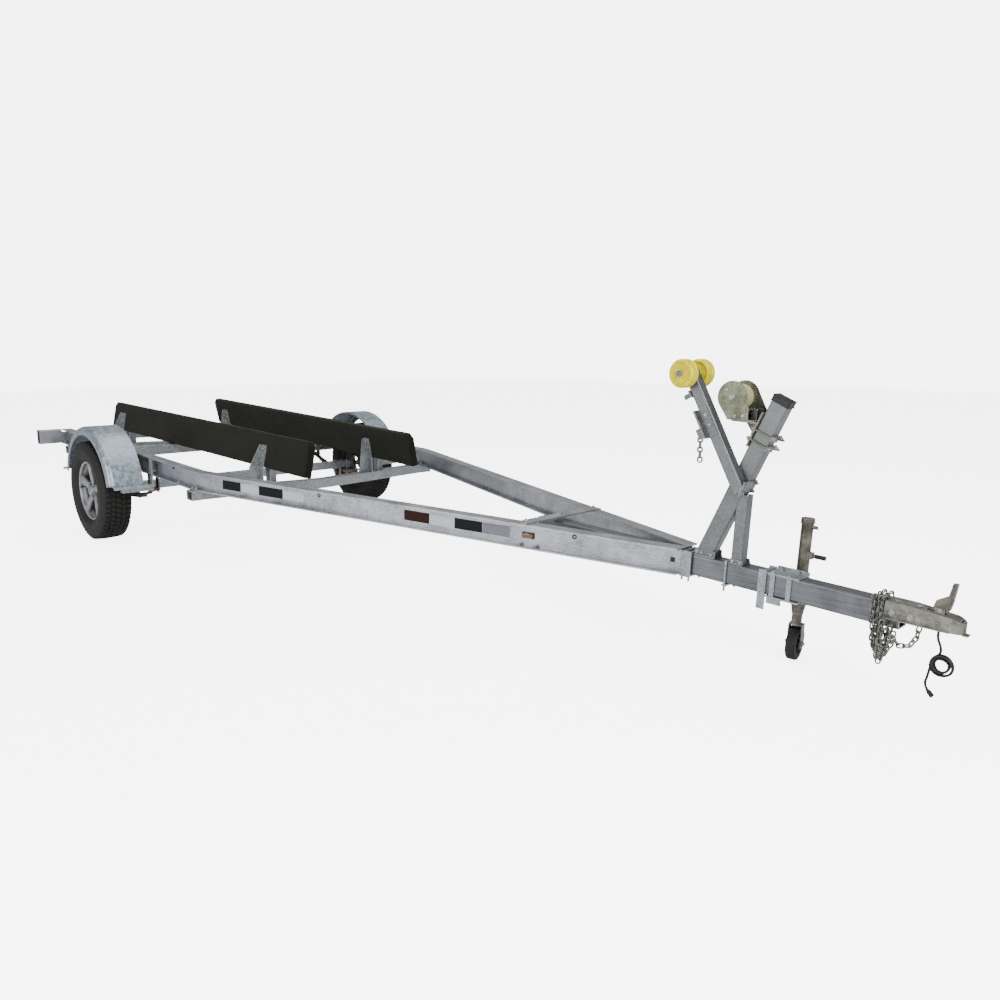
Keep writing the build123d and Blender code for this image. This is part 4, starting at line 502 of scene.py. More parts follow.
def round_bar(radius, low, high, edge=0.0, segments=24, tip=None):
    """Round bar along z between two heights, tapering to `tip` where one is given."""
    bm = bmesh.new()
    bmesh.ops.create_cone(bm, cap_ends=True, segments=segments, radius1=radius,
                          radius2=radius if tip is None else tip, depth=high - low)
    bmesh.ops.translate(bm, vec=(0, 0, (low + high) / 2), verts=bm.verts)
    soften(bm, edge, 2, 50)
    return bm


def hex_nut(across, thick, stud, washer=True):
    """Hexagon nut standing on z = 0 with chamfered corners, its washer and the bolt end."""
    bm = bmesh.new()
    seat = 0.0018 if washer else 0.0
    if washer:
        add(bm, round_bar(across * 0.62, 0, seat, 0.0004, 20))
    # a hexagon measures 1.732 radii across its flats
    nut = round_bar(across / 1.732, seat, seat + thick, 0.0, 6)
    soften(nut, 0.0012, 1, 50)
    add(bm, nut)
    if stud:
        add(bm, round_bar(across * 0.29, seat, seat + thick + stud, 0.0, 12, across * 0.25))
    return bm


def plate(outline, thick, radius=0.001, segments=1):
    """Flat plate: the outline in x and y, raised along z."""
    bm = bmesh.new()
    face = bm.faces.new([bm.verts.new((x, y, 0)) for x, y in outline])
    made = bmesh.ops.extrude_face_region(bm, geom=[face])["geom"]
    bmesh.ops.translate(bm, vec=(0, 0, thick), verts=[v for v in made if isinstance(v, bmesh.types.BMVert)])
    bmesh.ops.recalc_face_normals(bm, faces=bm.faces)
    soften(bm, radius, segments, 40)
    return bm


def lathe(profile, steps=64, closed=False):
    """Turned shape about z from a half section of (radius, height) points."""
    bm = bmesh.new()
    verts = [bm.verts.new((r, 0, z)) for r, z in profile]
    edges = [bm.edges.new(pair) for pair in zip(verts, verts[1:])]
    if closed:
        edges.append(bm.edges.new((verts[-1], verts[0])))
    bmesh.ops.spin(bm, geom=verts + edges, cent=(0, 0, 0), axis=(0, 0, 1), angle=math.tau, steps=steps,
                   use_merge=True)
    bmesh.ops.remove_doubles(bm, verts=bm.verts, dist=0.00002)
    bmesh.ops.recalc_face_normals(bm, faces=bm.faces)
    return bm


def tube_path(points, radius, loop=False, sides=4, smooth=True, order=3):
    """Round wire or pipe along smooth control points."""
    data = bpy.data.curves.new("path", "CURVE")
    data.dimensions = "3D"
    data.bevel_depth = radius
    data.bevel_resolution = sides
    data.use_fill_caps = not loop
    spline = data.splines.new("NURBS" if smooth else "POLY")
    spline.points.add(len(points) - 1)
    for point, place in zip(spline.points, points):
        point.co = (*place, 1)
    spline.use_cyclic_u = loop
    if smooth:
        spline.order_u = order
        spline.use_endpoint_u = not loop
        spline.resolution_u = 6
    holder = bpy.data.objects.new("path", data)
    mesh = bpy.data.meshes.new_from_object(holder)
    bm = bmesh.new()
    bm.from_mesh(mesh)
    bmesh.ops.remove_doubles(bm, verts=bm.verts, dist=0.00001)
    bmesh.ops.recalc_face_normals(bm, faces=bm.faces)
    bpy.data.objects.remove(holder)
    bpy.data.curves.remove(data)
    bpy.data.meshes.remove(mesh)
    return bm


def piece(name, bm, body, finishes, replaces=(), sharp=34):
    """Sets a finished piece down in the parked attitude and fastens it to its body."""
    bmesh.ops.transform(bm, matrix=PARKED, verts=bm.verts)
    mesh = bpy.data.meshes.new(name)
    bm.to_mesh(mesh)
    bm.free()
    mesh.set_sharp_from_angle(angle=math.radians(sharp))
    for each in finishes:
        mesh.materials.append(finish(each))
    made = bpy.data.objects.new(name, mesh)
    bpy.context.scene.collection.objects.link(made)
    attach(made, body)
    if replaces:
        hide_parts(*replaces)
    return made


def dress_nodes(name, *nodes):
    """Gives carried-over parts their finish."""
    for each in nodes:
        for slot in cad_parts[each].material_slots:
            slot.material = finish(name)


def sizes():
    """The sizes and colours that the panel shows."""
    return bpy.context.scene.boat_trailer


def mirrored(bm, side):
    """Takes a left-hand shape to the right-hand side where side is -1."""
    if side < 0:
        bmesh.ops.scale(bm, vec=(1, -1, 1), verts=bm.verts)
        bmesh.ops.reverse_faces(bm, faces=bm.faces)
    return bm


# ---------------------------------------------------------------- stage and cord
def build_stage():
    """Camera at the viewing angle, pale floor and soft lights."""
    data = bpy.data.cameras.new("camera")
    data.sensor_fit = "HORIZONTAL"
    data.sensor_width = SENSOR
    data.lens = FOCAL_PIXELS / RENDER_PIXELS * SENSOR
    data.shift_x = (RENDER_PIXELS / 2 - RENDER_CENTRE[0]) / RENDER_PIXELS
    data.shift_y = (RENDER_CENTRE[1] - RENDER_PIXELS / 2) / RENDER_PIXELS
    data.clip_end = 100
    camera = bpy.data.objects.new("camera", data)
    level = Vector((-math.sin(CAMERA_TURN), math.cos(CAMERA_TURN), 0))
    right = Vector((math.cos(CAMERA_TURN), math.sin(CAMERA_TURN), 0))
    ahead = level * math.cos(CAMERA_DIP) - Vector((0, 0, math.sin(CAMERA_DIP)))
    view = Matrix((right, right.cross(ahead), -ahead)).transposed().to_4x4()
    view.translation = Vector(CAMERA_AT) + Vector((ORIGIN_X, 0, 0))
    camera.matrix_world = view
    bpy.context.scene.collection.objects.link(camera)
    bpy.context.scene.camera = camera

    floor = bmesh.new()
    bmesh.ops.create_grid(floor, x_segments=1, y_segments=1, size=30)
    mesh = bpy.data.meshes.new("studio_floor")
    floor.to_mesh(mesh)
    floor.free()
    mesh.materials.append(finish("paper"))
    ground = bpy.data.objects.new("studio_floor", mesh)
    bpy.context.scene.collection.objects.link(ground)

    world = bpy.data.worlds.new("studio_air")
    world.use_nodes = True
    tree = world.node_tree
    seen = node(tree, "LightPath").outputs["Is Camera Ray"]
    strength = node(tree, "MapRange", {"Value": seen, "To Min": sizes().sky,
                                       "To Max": sizes().backdrop}).outputs[0]
    tree.nodes["Background"].inputs["Color"].default_value = (1.0, 1.0, 1.0, 1.0)
    tree.links.new(strength, tree.nodes["Background"].inputs["Strength"])
    bpy.context.scene.world = world
    # each lamp's name, its place and aim from the axle, its size across and its power
    lights = (("key", (10.0, -3.6, 4.8), (2.2, 0.0, 0.4), 4.0, sizes().key_light),
              ("top", (1.0, 0.5, 7.0), (1.0, 0.0, 0.5), 7.0, sizes().key_light * FILL_SHARE),
              ("side", (1.5, -8.5, 2.2), (2.2, -0.5, 0.5), 3.0, sizes().key_light * FILL_SHARE))
    for name, place, aim, size, power in lights:
        lamp = bpy.data.lights.new(name, "AREA")
        lamp.energy = power
        lamp.size = size
        holder = bpy.data.objects.new(name, lamp)
        holder.visible_camera = False
        place = Vector(place) + Vector((ORIGIN_X, 0, 0))
        aim = Vector(aim) + Vector((ORIGIN_X, 0, 0))
        turn = (place - aim).to_track_quat("Z", "Y").to_matrix().to_4x4()
        holder.matrix_world = Matrix.Translation(place) @ turn
        bpy.context.scene.collection.objects.link(holder)


def build_cord():
    """Lamp lead: hangs from the nose in a loose coil and ends in a flat plug."""
    plug = bmesh.new()
    way = turned(Vector(CORD_TAIL[-2]) - Vector(CORD_TAIL[-1]), (0, 1, 0))
    foot = Matrix.Translation(CORD_TAIL[-1]) @ way
    add(plug, block((-0.0108, -0.0048, -0.0165), (0.0108, 0.0048, 0.0080), 0.0016), foot)
    add(plug, round_bar(0.0062, 0.0060, 0.0165, 0.001, 20, 0.0048), foot)
    pins = [foot @ at(x, 0, 0) for x in (-0.0066, 0, 0.0066)]
    add(plug, round_bar(0.0026, -0.0170, -0.0150, 0.0003, 14), *pins)
    for z in (-0.011, -0.006, -0.001):
        add(plug, block((-0.0109, -0.0050, z), (0.0109, 0.0050, z + 0.002), 0.0004), foot)
    plug = piece("lead_plug", plug, "frame", ["plastic"], ["cord_plug"])

    points = [Vector(p) for p in CORD_TOP]
    cx, cy, cz = COIL_CENTRE
    for i in range(int(COIL_TURNS * math.tau / COIL_STEP) + 1):
        angle, turn = COIL_START + i * COIL_STEP, i * COIL_STEP / math.tau
        # the last two turns lie inside the first two, and the end swings out to the tail
        inward = min(1.0, max(0.0, (turn - 1.85) / 0.4))
        leaving = min(1.0, max(0.0, (turn - 3.8) / 0.31))
        wide = 0.0375 - 0.0125 * inward + 0.0135 * leaving + 0.0012 * math.sin(i * 1.3)
        lean = 0.0100 - 0.0105 * turn if turn < 2 else -0.0110 + 0.0108 * (turn - 2) + 0.0030 * leaving
        points.append(Vector((cx + wide * math.cos(angle), cy + lean, cz + wide * math.sin(angle))))
    points.append(Vector((cx - 0.0390, cy + 0.0090, cz - 0.0270)))
    points += [Vector(p) for p in CORD_TAIL]
    data = bpy.data.curves.new("lamp_lead", "CURVE")
    data.dimensions = "3D"
    data.bevel_depth = CORD_DIAMETER / 2
    data.bevel_resolution = 5
    data.use_fill_caps = True
    spline = data.splines.new("NURBS")
    spline.points.add(len(points) - 1)
    for point, place in zip(spline.points, points):
        point.co = (*(PARKED @ place), 1)
    spline.order_u = 3
    spline.use_endpoint_u = True
    spline.resolution_u = 8
    data.materials.append(finish("cord"))
    lead = bpy.data.objects.new("lamp_lead", data)
    bpy.context.scene.collection.objects.link(lead)
    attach(lead, "frame")
    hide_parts("cord", "cord_coil")


# ---------------------------------------------------------------- wheels and tyres
def wheel_place(side):
    """Wheel frame: z outward along the axle, side is -1 right or 1 left."""
    return at(0, side * WHEEL_Y, AXLE_Z) @ turned((0, side, 0), (0, 0, 1))


def tread_ring(bm, heights, depth, pitch_share, shift, skew, place):
    """Ring of tread blocks between two heights across the tread, stamped round the tyre."""
    count = sizes().tread_blocks
    low, high = heights
    length = TYRE_RADIUS * math.tau / count * pitch_share
    middle = (low + high) / 2
    outer = TYRE_RADIUS - CROWN_DROP * (abs(middle) / TREAD_HALF) ** CROWN_POWER - 0.0004
    shape = bmesh.new()
    bmesh.ops.create_cube(shape, size=1.0)
    bmesh.ops.scale(shape, vec=(depth, length, high - low), verts=shape.verts)
    for vert in shape.verts:
        vert.co.y += skew * vert.co.z
    top = [f for f in shape.faces if f.normal.x > 0.9]
    bmesh.ops.bevel(shape, geom=[e for f in top for e in f.edges], offset=0.0012, offset_type="OFFSET",
                    segments=1, profile=0.5, affect="EDGES", material=-1)
    under = [f for f in shape.faces if f.normal.x < -0.9]
    bmesh.ops.delete(shape, geom=under, context="FACES")
    # the block leans with the crown of the tread
    slope = CROWN_DROP * CROWN_POWER * (abs(middle) / TREAD_HALF) ** (CROWN_POWER - 1) / TREAD_HALF
    lean = slope if middle > 0 else -slope
    bmesh.ops.rotate(shape, cent=(0, 0, 0), matrix=Matrix.Rotation(-lean, 3, "Y"), verts=shape.verts)
    bmesh.ops.translate(shape, vec=(outer - depth / 2, 0, middle), verts=shape.verts)
    add(bm, shape, *turns(place, count, shift))


def build_tyres():
    """Tyres: carcass with moulded side rings, five ribs of tread blocks and shoulder lugs."""
    for side, name in ((-1, "right"), (1, "left")):
        bm = bmesh.new()
        place = wheel_place(side)
        groove = sizes().tread_depth
        # one side wall from the bead out to the shoulder, with its moulded rings
        wall = [(0.1965, 0.066), (0.2035, 0.069), (0.2055, 0.079), (0.2140, 0.0865), (0.2180, 0.0895),
                (0.2205, 0.0885), (0.2340, 0.0970), (0.2365, 0.0990), (0.2390, 0.0985), (0.2520, 0.1010),
                (0.2680, 0.1022), (0.2840, 0.1012), (0.2865, 0.1022), (0.2890, 0.1005), (0.3020, 0.0970),
                (0.3140, 0.0925), (0.3250, 0.0870), (0.3310, 0.0815), (0.3325, 0.0780)]
        crown = [(TYRE_RADIUS - groove - CROWN_DROP * (h / TREAD_HALF) ** CROWN_POWER, h)
                 for h in (0.070, 0.035, 0.0)]
        crown += [(r, -h) for r, h in reversed(crown[:-1])]
        inner = [(0.2165, -0.050), (0.2165, 0.050)]
        add(bm, lathe(wall + crown + [(r, -h) for r, h in reversed(wall)] + inner, 120, closed=True), place)
        tread_ring(bm, (-0.0165, 0.0165), groove, 0.86, 0.0, 0.35, place)
        tread_ring(bm, (0.0210, 0.0480), groove, 0.84, 0.35, 0.55, place)
        tread_ring(bm, (-0.0480, -0.0210), groove, 0.84, 0.60, -0.55, place)
        for sign in (-1, 1):
            heights = (0.0525, 0.0815) if sign > 0 else (-0.0815, -0.0525)
            tread_ring(bm, heights, groove, 0.80, 0.2 if sign > 0 else 0.7, 0.15 * sign, place)
            lug = block((0.3120, -0.0062, 0.0800), (0.3350, 0.0062, 0.0880), 0.0012, 1)
            bmesh.ops.rotate(lug, cent=(0.3350, 0, 0.0800), matrix=Matrix.Rotation(math.radians(-17), 3, "Y"),
                             verts=lug.verts)
            if sign < 0:
                bmesh.ops.scale(lug, vec=(1, 1, -1), verts=lug.verts)
                bmesh.ops.reverse_faces(lug, faces=lug.faces)
            add(bm, lug, *turns(place, sizes().tread_blocks, 0.2 + 0.25 * sign))
        piece(f"tyre_{name}_rubber", bm, f"wheel_{name}_body", ["rubber"], [f"tyre_{name}"], 32)


def spoke_shape():
    """One wheel spoke: a bar bent up to the rim flange, crowned in front and hollow behind."""
    half, inner, outer = 0.0245, 0.036, 0.1925
    bm = block((-half, inner, 0.022), (half, outer, 0.044), 0.0, 0)
    lengthwise = [e for e in bm.edges if abs(e.verts[0].co.y - e.verts[1].co.y) > 0.1]
    bmesh.ops.subdivide_edges(bm, edges=lengthwise, cuts=9, use_grid_fill=True)
    across = [e for e in bm.edges if abs(e.verts[0].co.x - e.verts[1].co.x) > 0.03]
    bmesh.ops.subdivide_edges(bm, edges=across, cuts=3, use_grid_fill=True)
    # widest at the hub and the rim, rising outward to the rim's flange, and hollow behind
    for vert in bm.verts:
        x, y, z = vert.co
        share = min(1.0, max(0.0, (y - inner) / (outer - inner)))
        middle = half * (1 + 0.30 * abs(share - 0.42) ** 1.4 * 2.2)
        front = 0.0475 + 0.019 * min(1.0, share * 1.25) ** 0.85
        crown = 0.0035 * (1 - (abs(x) / half) ** 2)
        vert.co.x = x / half * middle
        vert.co.z = front + crown if z > 0.033 else front - 0.0185 + 0.012 * max(0, share - 0.75)
    soften(bm, 0.0035, 3, 45)
    return bm


def build_wheels():
    """Wheels: stepped barrel with rolled flanges, spokes, hub, nuts, cap, valve and weight."""
    for side, name in ((-1, "right"), (1, "left")):
        bm = bmesh.new()
        place = wheel_place(side)
        # down the outside from the front flange to the back one, and up the inside again
        barrel = [(0.2030, 0.0755), (0.1985, 0.0735), (0.1955, 0.0680), (0.1945, 0.0450),
                  (0.1850, 0.0370), (0.1700, 0.0300), (0.1690, -0.0180), (0.1880, -0.0300),
                  (0.1950, -0.0400), (0.1955, -0.0670), (0.2000, -0.0740), (0.2030, -0.0755),
                  (0.2030, -0.0735), (0.1985, -0.0700), (0.1915, -0.0660), (0.1905, -0.0420),
                  (0.1830, -0.0330), (0.1650, -0.0215), (0.1645, 0.0330), (0.1800, 0.0410),
                  (0.1895, 0.0500), (0.1905, 0.0690), (0.1960, 0.0745), (0.2005, 0.0762)]
        add(bm, lathe(barrel, 96, closed=True), place)
        count = sizes().spokes
        # a spoke is drawn along y, a quarter turn from where its place starts
        back_a_quarter = Matrix.Rotation(-math.pi / 2, 4, "Z")
        add(bm, spoke_shape(), *[turn @ back_a_quarter for turn in turns(place, count)])
        hub = [(0.0, 0.0300), (0.0610, 0.0300), (0.0655, 0.0340), (0.0650, 0.0450), (0.0605, 0.0500),
               (0.0440, 0.0510), (0.0415, 0.0480), (0.0, 0.0480)]
        add(bm, lathe(hub, 60), place)
        back = [(0.0, -0.0100), (0.0560, -0.0100), (0.0600, -0.0060), (0.0600, 0.0310), (0.0, 0.0310)]
        add(bm, lathe(back, 48), place)
        piece(f"wheel_{name}_rim", bm, f"wheel_{name}_body", ["enamel"], [f"wheel_{name}"], 36)

        bits = bmesh.new()
        ring = turns(place, count, 0.5)
        well = lathe([(0.0105, 0.0485), (0.0135, 0.0485), (0.0140, 0.0515), (0.0105, 0.0515)], 24,
                     closed=True)
        add(bits, well, *[turn @ at(STUD_CIRCLE, 0, 0) for turn in ring])
        nuts = [turn @ at(STUD_CIRCLE, 0, 0.0490) for turn in ring]
        add(bits, hex_nut(NUT_19, 0.012, 0.0035, False), *nuts)
        cap = [(0.0, 0.0742), (0.0200, 0.0738), (0.0330, 0.0725), (0.0375, 0.0690), (0.0390, 0.0640),
               (0.0390, 0.0560), (0.0405, 0.0550), (0.0405, 0.0480), (0.0, 0.0480)]
        add(bits, lathe(cap, 48), place)
        valve = place @ at(0, 0.176, 0.046) @ Matrix.Rotation(math.radians(16), 4, "X")
        add(bits, round_bar(0.0042, 0.0, 0.028, 0.0005, 12), valve, skin=1)
        add(bits, round_bar(0.0050, 0.026, 0.036, 0.0008, 12), valve, skin=1)
        weight = block((0.1860, -0.016, 0.0690), (0.1925, 0.016, 0.0765), 0.0012, 1)
        add(bits, weight, place @ Matrix.Rotation(2.2, 4, "Z"))
        piece(f"wheel_{name}_nuts", bits, f"wheel_{name}_body", ["bolt", "plastic"])


def build_springs():
    """Leaf springs: stacked leaves with clips, eyes, hangers, U-bolts and the axle's ends."""
    for side, name in ((-1, "right"), (1, "left")):
        bm = bmesh.new()
        rise = SPRING_EYE_Z - LEAF_Z
        bow = (SPRING_REACH ** 2 + rise ** 2) / (2 * rise)
        y = side * BEAM_Y
        centre = (0, y, LEAF_Z + bow)
        # every leaf is shorter than the one above it
        for leaf in range(4):
            half = SPRING_REACH * (1 - 0.22 * leaf)
            sweep = 2 * math.asin(half / bow)
            top, under = LEAF_Z - 0.0004 - leaf * LEAF_PITCH, LEAF_Z - 0.0066 - leaf * LEAF_PITCH
            section = ((0, y - LEAF_HALF, top), (0, y + LEAF_HALF, top),
                       (0, y + LEAF_HALF, under), (0, y - LEAF_HALF, under))
            shape = bmesh.new()
            face = shape.faces.new([shape.verts.new(corner) for corner in section])
            bmesh.ops.rotate(shape, cent=centre, matrix=Matrix.Rotation(sweep / 2, 3, "Y"),
                             verts=shape.verts)
            bmesh.ops.spin(shape, geom=[face], cent=centre, axis=(0, -1, 0), angle=sweep, steps=28)
            bmesh.ops.remove_doubles(shape, verts=shape.verts, dist=0.00001)
            bmesh.ops.recalc_face_normals(shape, faces=shape.faces)
            add(bm, shape)
        for sign in (-1, 1):
            x = sign * SPRING_REACH
            across = at(x, y, SPRING_EYE_Z) @ turned((0, 1, 0))
            eye = [(0.0080, -0.0225), (0.0140, -0.0225), (0.0140, 0.0225), (0.0080, 0.0225)]
            add(bm, lathe(eye, 28, True), across)
            add(bm, round_bar(0.007, -0.034, 0.034, 0.0006, 18), across)
            for edge in (-1, 1):
                ear_y = y + edge * 0.0265
                add(bm, block((x - 0.024, ear_y - 0.003, 0.366),
                              (x + 0.024, ear_y + 0.003, 0.4958), 0.001, 1))
                pin_end = at(x, y + edge * 0.0300, SPRING_EYE_Z) @ turned((0, edge, 0))
                add(bm, hex_nut(NUT_19, 0.009, 0.004), pin_end, skin=1)
        # legs of the two U-bolts over the axle, and the plate below that they clamp
        for x in (-0.038, 0.038):
            for offset in (-0.034, 0.034):
                add(bm, round_bar(0.006, 0.262, 0.378, 0.0006, 16), at(x, y + offset, 0), skin=1)
                below = at(x, y + offset, 0.2778) @ turned((0, 0, -1))
                add(bm, hex_nut(NUT_19, 0.010, 0.0), below, skin=1)
        add(bm, block((-0.048, y - 0.046, 0.2780), (0.048, y + 0.046, 0.2860), 0.0015))
        # clips that keep the leaves in line
        for x in (-0.20, 0.20):
            z = LEAF_Z + bow - math.sqrt((bow + 0.004) ** 2 - x * x)
            add(bm, block((x - 0.012, y - 0.0255, z - 0.024), (x + 0.012, y + 0.0255, z + 0.006), 0.0015))
        piece(f"spring_{name}_pack", bm, "frame", ["dark", "bolt"], [f"leaf_spring_{name}"], 40)
    dress_nodes("galv", "axle")
    bm = bmesh.new()
    for side in (-1, 1):
        seal = [(0.024, 0.0), (0.034, 0.0), (0.036, 0.012), (0.033, 0.026), (0.024, 0.028)]
        add(bm, lathe(seal, 40, True), at(0, side * 0.998, AXLE_Z) @ turned((0, side, 0)))
    piece("axle_seals", bm, "frame", ["dark"])


def build_fenders():
    """Fenders: finish of the rolled plate, its wired edges, and the nuts on its feet."""
    reach, inner, outer = 0.445, 0.965, 1.186
    foot_z = 0.440
    rise = math.asin((foot_z - AXLE_Z) / reach)
    foot_x = reach * math.cos(rise)
    for side, name in ((-1, "right"), (1, "left")):
        bm = bmesh.new()
        dress_nodes("fender", f"fender_{name}")
        # the wire rolled into each edge of the plate
        for radius, y in ((reach - 0.0052, inner + 0.0052), (reach - 0.0460, outer - 0.0045)):
            wire = bmesh.new()
            ring = bmesh.ops.create_circle(wire, cap_ends=False, segments=10, radius=0.0045)["verts"]
            bmesh.ops.translate(wire, vec=(radius, y, 0), verts=ring)
            bmesh.ops.rotate(wire, cent=(0, 0, 0), matrix=Matrix.Rotation(-rise - 0.02, 3, "Y"),
                             verts=wire.verts)
            bmesh.ops.spin(wire, geom=list(wire.verts) + list(wire.edges), cent=(0, 0, 0), axis=(0, -1, 0),
                           angle=math.pi - 2 * rise - 0.04, steps=64)
            bmesh.ops.remove_doubles(wire, verts=wire.verts, dist=0.00001)
            bmesh.ops.holes_fill(wire, edges=[e for e in wire.edges if e.is_boundary], sides=12)
            bmesh.ops.translate(wire, vec=(0, 0, AXLE_Z), verts=wire.verts)
            bmesh.ops.recalc_face_normals(wire, faces=wire.faces)
            add(bm, mirrored(wire, side))
        for sign in (-1, 1):
            for y in (0.995, 1.060, 1.125):
                foot = at(sign * (foot_x + 0.042), side * y, foot_z + 0.0032)
                add(bm, hex_nut(NUT_14, 0.007, 0.003), foot, skin=1)
        piece(f"fender_{name}_trim", bm, "frame", ["fender", "bolt"])
    dress_nodes("galv", "fender_bars")


# ---------------------------------------------------------------- bunks
def bunk_place():
    """Left bunk frame: x along the board from its rear end, y out, z up from its top edge."""
    along = Vector((3.012, -0.065, 0)).normalized()
    tilt = math.radians(11.5)
    out = Vector((0, math.cos(tilt), math.sin(tilt)))
    out = (out - along * out.dot(along)).normalized()
    return at(BUNK_REAR_X, 0.440, 0.815) @ Matrix((along, out, along.cross(out))).transposed().to_4x4()


def build_bunks():
    """Bunks: boards wrapped in carpet, edges soft, ends folded and a seam stapled below."""
    length, tall, half, corner = 3.0127, 0.226, 0.0228, 0.034
    fields_along, fields_down = 61, 7
    for side, name in ((-1, "right"), (1, "left")):
        bm = bmesh.new()
        board = block((0, -half, -tall), (length, half, 0), 0)
        # both upper corners are cut off, then every edge is rounded
        for x, lean in ((corner, -1), (length - corner, 1)):
            bmesh.ops.bisect_plane(board, geom=whole(board), plane_co=(x, 0, 0),
                                   plane_no=Vector((lean, 0, 1)), clear_outer=True)
            bmesh.ops.holes_fill(board, edges=[e for e in board.edges if e.is_boundary], sides=8)
        soften(board, 0.008, 4, 30)
        for i in range(1, fields_along):
            bmesh.ops.bisect_plane(board, geom=whole(board), plane_no=(1, 0, 0),
                                   plane_co=(length * i / fields_along, 0, 0))
        for i in range(1, fields_down):
            bmesh.ops.bisect_plane(board, geom=whole(board), plane_no=(0, 0, 1),
                                   plane_co=(0, 0, -tall * i / fields_down))
        # the carpet lies a little loose on the board's two faces
        for vert in board.verts:
            x, y, z = vert.co
            slack = 0.0008 * math.sin(x * 23 + z * 31 + side) + 0.0005 * math.sin(x * 57 + z * 90)
            if abs(y) > half - 0.002:
                vert.co.y += math.copysign(slack, y)
        add(bm, board)
        # the carpet's folded flap on each end
        for end, x in ((-1, 0.0), (1, length)):
            fold = plate([(-0.019, -0.030), (0.019, -0.030), (0.015, -0.118), (0.0, -0.150),
                          (-0.015, -0.118)], 0.0022, 0.0006)
            add(bm, fold, at(x - 0.0008 if end > 0 else x + 0.0008, 0, 0) @ turned((end, 0, 0), (0, end, 0)))
        add(bm, block((0.02, 0.0025, -tall - 0.0020), (length - 0.02, 0.0045, -tall + 0.001), 0.0008, 1))
        bmesh.ops.recalc_face_normals(bm, faces=bm.faces)
        bmesh.ops.transform(bm, matrix=bunk_place(), verts=bm.verts)
        piece(f"bunk_{name}_carpet", mirrored(bm, side), "frame", ["carpet"], [f"bunk_{name}"], 50)

        # staples about 80 mm apart below, and three bolts through each bracket
        bits = bmesh.new()
        staple = block((-0.006, -0.0007, -0.0009), (0.006, 0.0007, 0.0006), 0.0003, 1)
        seam = [bunk_place() @ at(0.04 + i * 0.0785, -0.006, -tall - 0.0008) for i in range(38)]
        add(bits, staple, *seam)
        for x in CROSS_XS:
            where = x - BUNK_REAR_X
            for face in (-1, 1):
                for dx, drop in ((-0.012, 0.108), (-0.012, 0.190), (0.010, 0.150)):
                    foot = bunk_place() @ at(where + dx, face * (half + 0.0066), -drop)
                    add(bits, hex_nut(NUT_14, 0.007, 0.004), foot @ turned((0, face, 0)))
        piece(f"bunk_{name}_fixings", mirrored(bits, side), "frame", ["bolt"])
    dress_nodes("galv", "bunk_brackets", "bunk_crossmembers", "mid_crossmember")
    bm = bmesh.new()
    for x in CROSS_XS:
        for side in (-1, 1):
            for dx in (-0.022, 0.022):
                for dy in (-0.024, 0.024):
                    foot = at(x + dx, side * (BEAM_Y + dy), FLANGE_TOP)
                    add(bm, hex_nut(NUT_19, 0.010, 0.005), foot)
    piece("crossmember_bolts", bm, "frame", ["bolt"])


# ---------------------------------------------------------------- main frame
def beam_place(x):
    """Left beam's outer face at x: x along the beam, y outward, z up from the ground."""
    if x < BEND_X:
        return at(x, BEAM_Y + WEB_HALF, 0)
    along = Vector((1, -CONVERGE, 0)).normalized()
    out = Vector((0, 0, 1)).cross(along)
    foot = Vector((x, BEAM_Y - (x - BEND_X) * CONVERGE, 0)) + out * WEB_HALF
    return Matrix.Translation(foot) @ Matrix((along, out, Vector((0, 0, 1)))).transposed().to_4x4()


def build_beams():
    """Beams and tongue: finishes, reflective tape, nuts, bolts and grommets."""
    dress_nodes("beam", "beam_left", "beam_right", "front_brace", "rear_crossmember")
    # painted shade: the tongue's darker aluminium stands in for the shade on its sides
    dress_nodes("tongue", "tongue")
    dress_nodes("galv", "tongue_clamps")
    tall = sizes().tape_height / 2
    # where each length of tape starts and ends along x, and which of the four finishes it has
    light, dark, red, lilac = range(4)
    runs = ((1.318, 1.462, dark), (1.464, 1.604, light), (1.606, 1.786, dark), (1.788, 1.939, light),
            (2.612, 2.764, red), (2.766, 2.911, light), (2.913, 3.069, dark), (3.071, 3.221, lilac))
    stretch = math.sqrt(1 + CONVERGE ** 2)
    for side, name in ((-1, "right"), (1, "left")):
        tape = bmesh.new()
        for low, high, kind in runs:
            half = (high - low) / 2 * stretch
            length = block((-half, -0.0001, TAPE_Z - tall), (half, 0.0005, TAPE_Z + tall), 0.0002, 1)
            add(tape, length, beam_place((low + high) / 2), skin=kind)
        piece(f"beam_{name}_tape", mirrored(tape, side), "frame",
              ["tape_light", "tape_dark", "tape_red", "tape_lilac"])

        # a front plug, nuts on the lower flange, spring bolts through the web, and rubber grommets
        bits = bmesh.new()
        add(bits, block((-0.010, 0, 0.545), (0.010, 0.004, 0.566), 0.001, 1), beam_place(4.005), skin=1)
        for x in (-1.36, -0.95, -0.445, -0.355, -0.335, 0.40, 0.445, 0.86, 3.28, 3.36):
            foot = beam_place(x) @ at(0, 0.018, FLANGE_TOP)
            add(bits, hex_nut(NUT_17, 0.008, 0.004), foot)
        for x in (-0.445, -0.355, 0.355, 0.445):
            foot = beam_place(x) @ at(0, 0, 0.520) @ turned((0, 1, 0))
            add(bits, hex_nut(NUT_17, 0.008, 0.003), foot)
        grommet = [(0.0060, 0.0), (0.0110, 0.0), (0.0115, 0.0018), (0.0085, 0.0032), (0.0060, 0.0026)]
        for x in (0.75, 2.05, 3.55):
            foot = beam_place(x) @ at(0, 0, 0.585) @ turned((0, 1, 0))
            add(bits, lathe(grommet, 20, True), foot, skin=1)
        piece(f"beam_{name}_fixings", mirrored(bits, side), "frame", ["bolt", "plastic"])


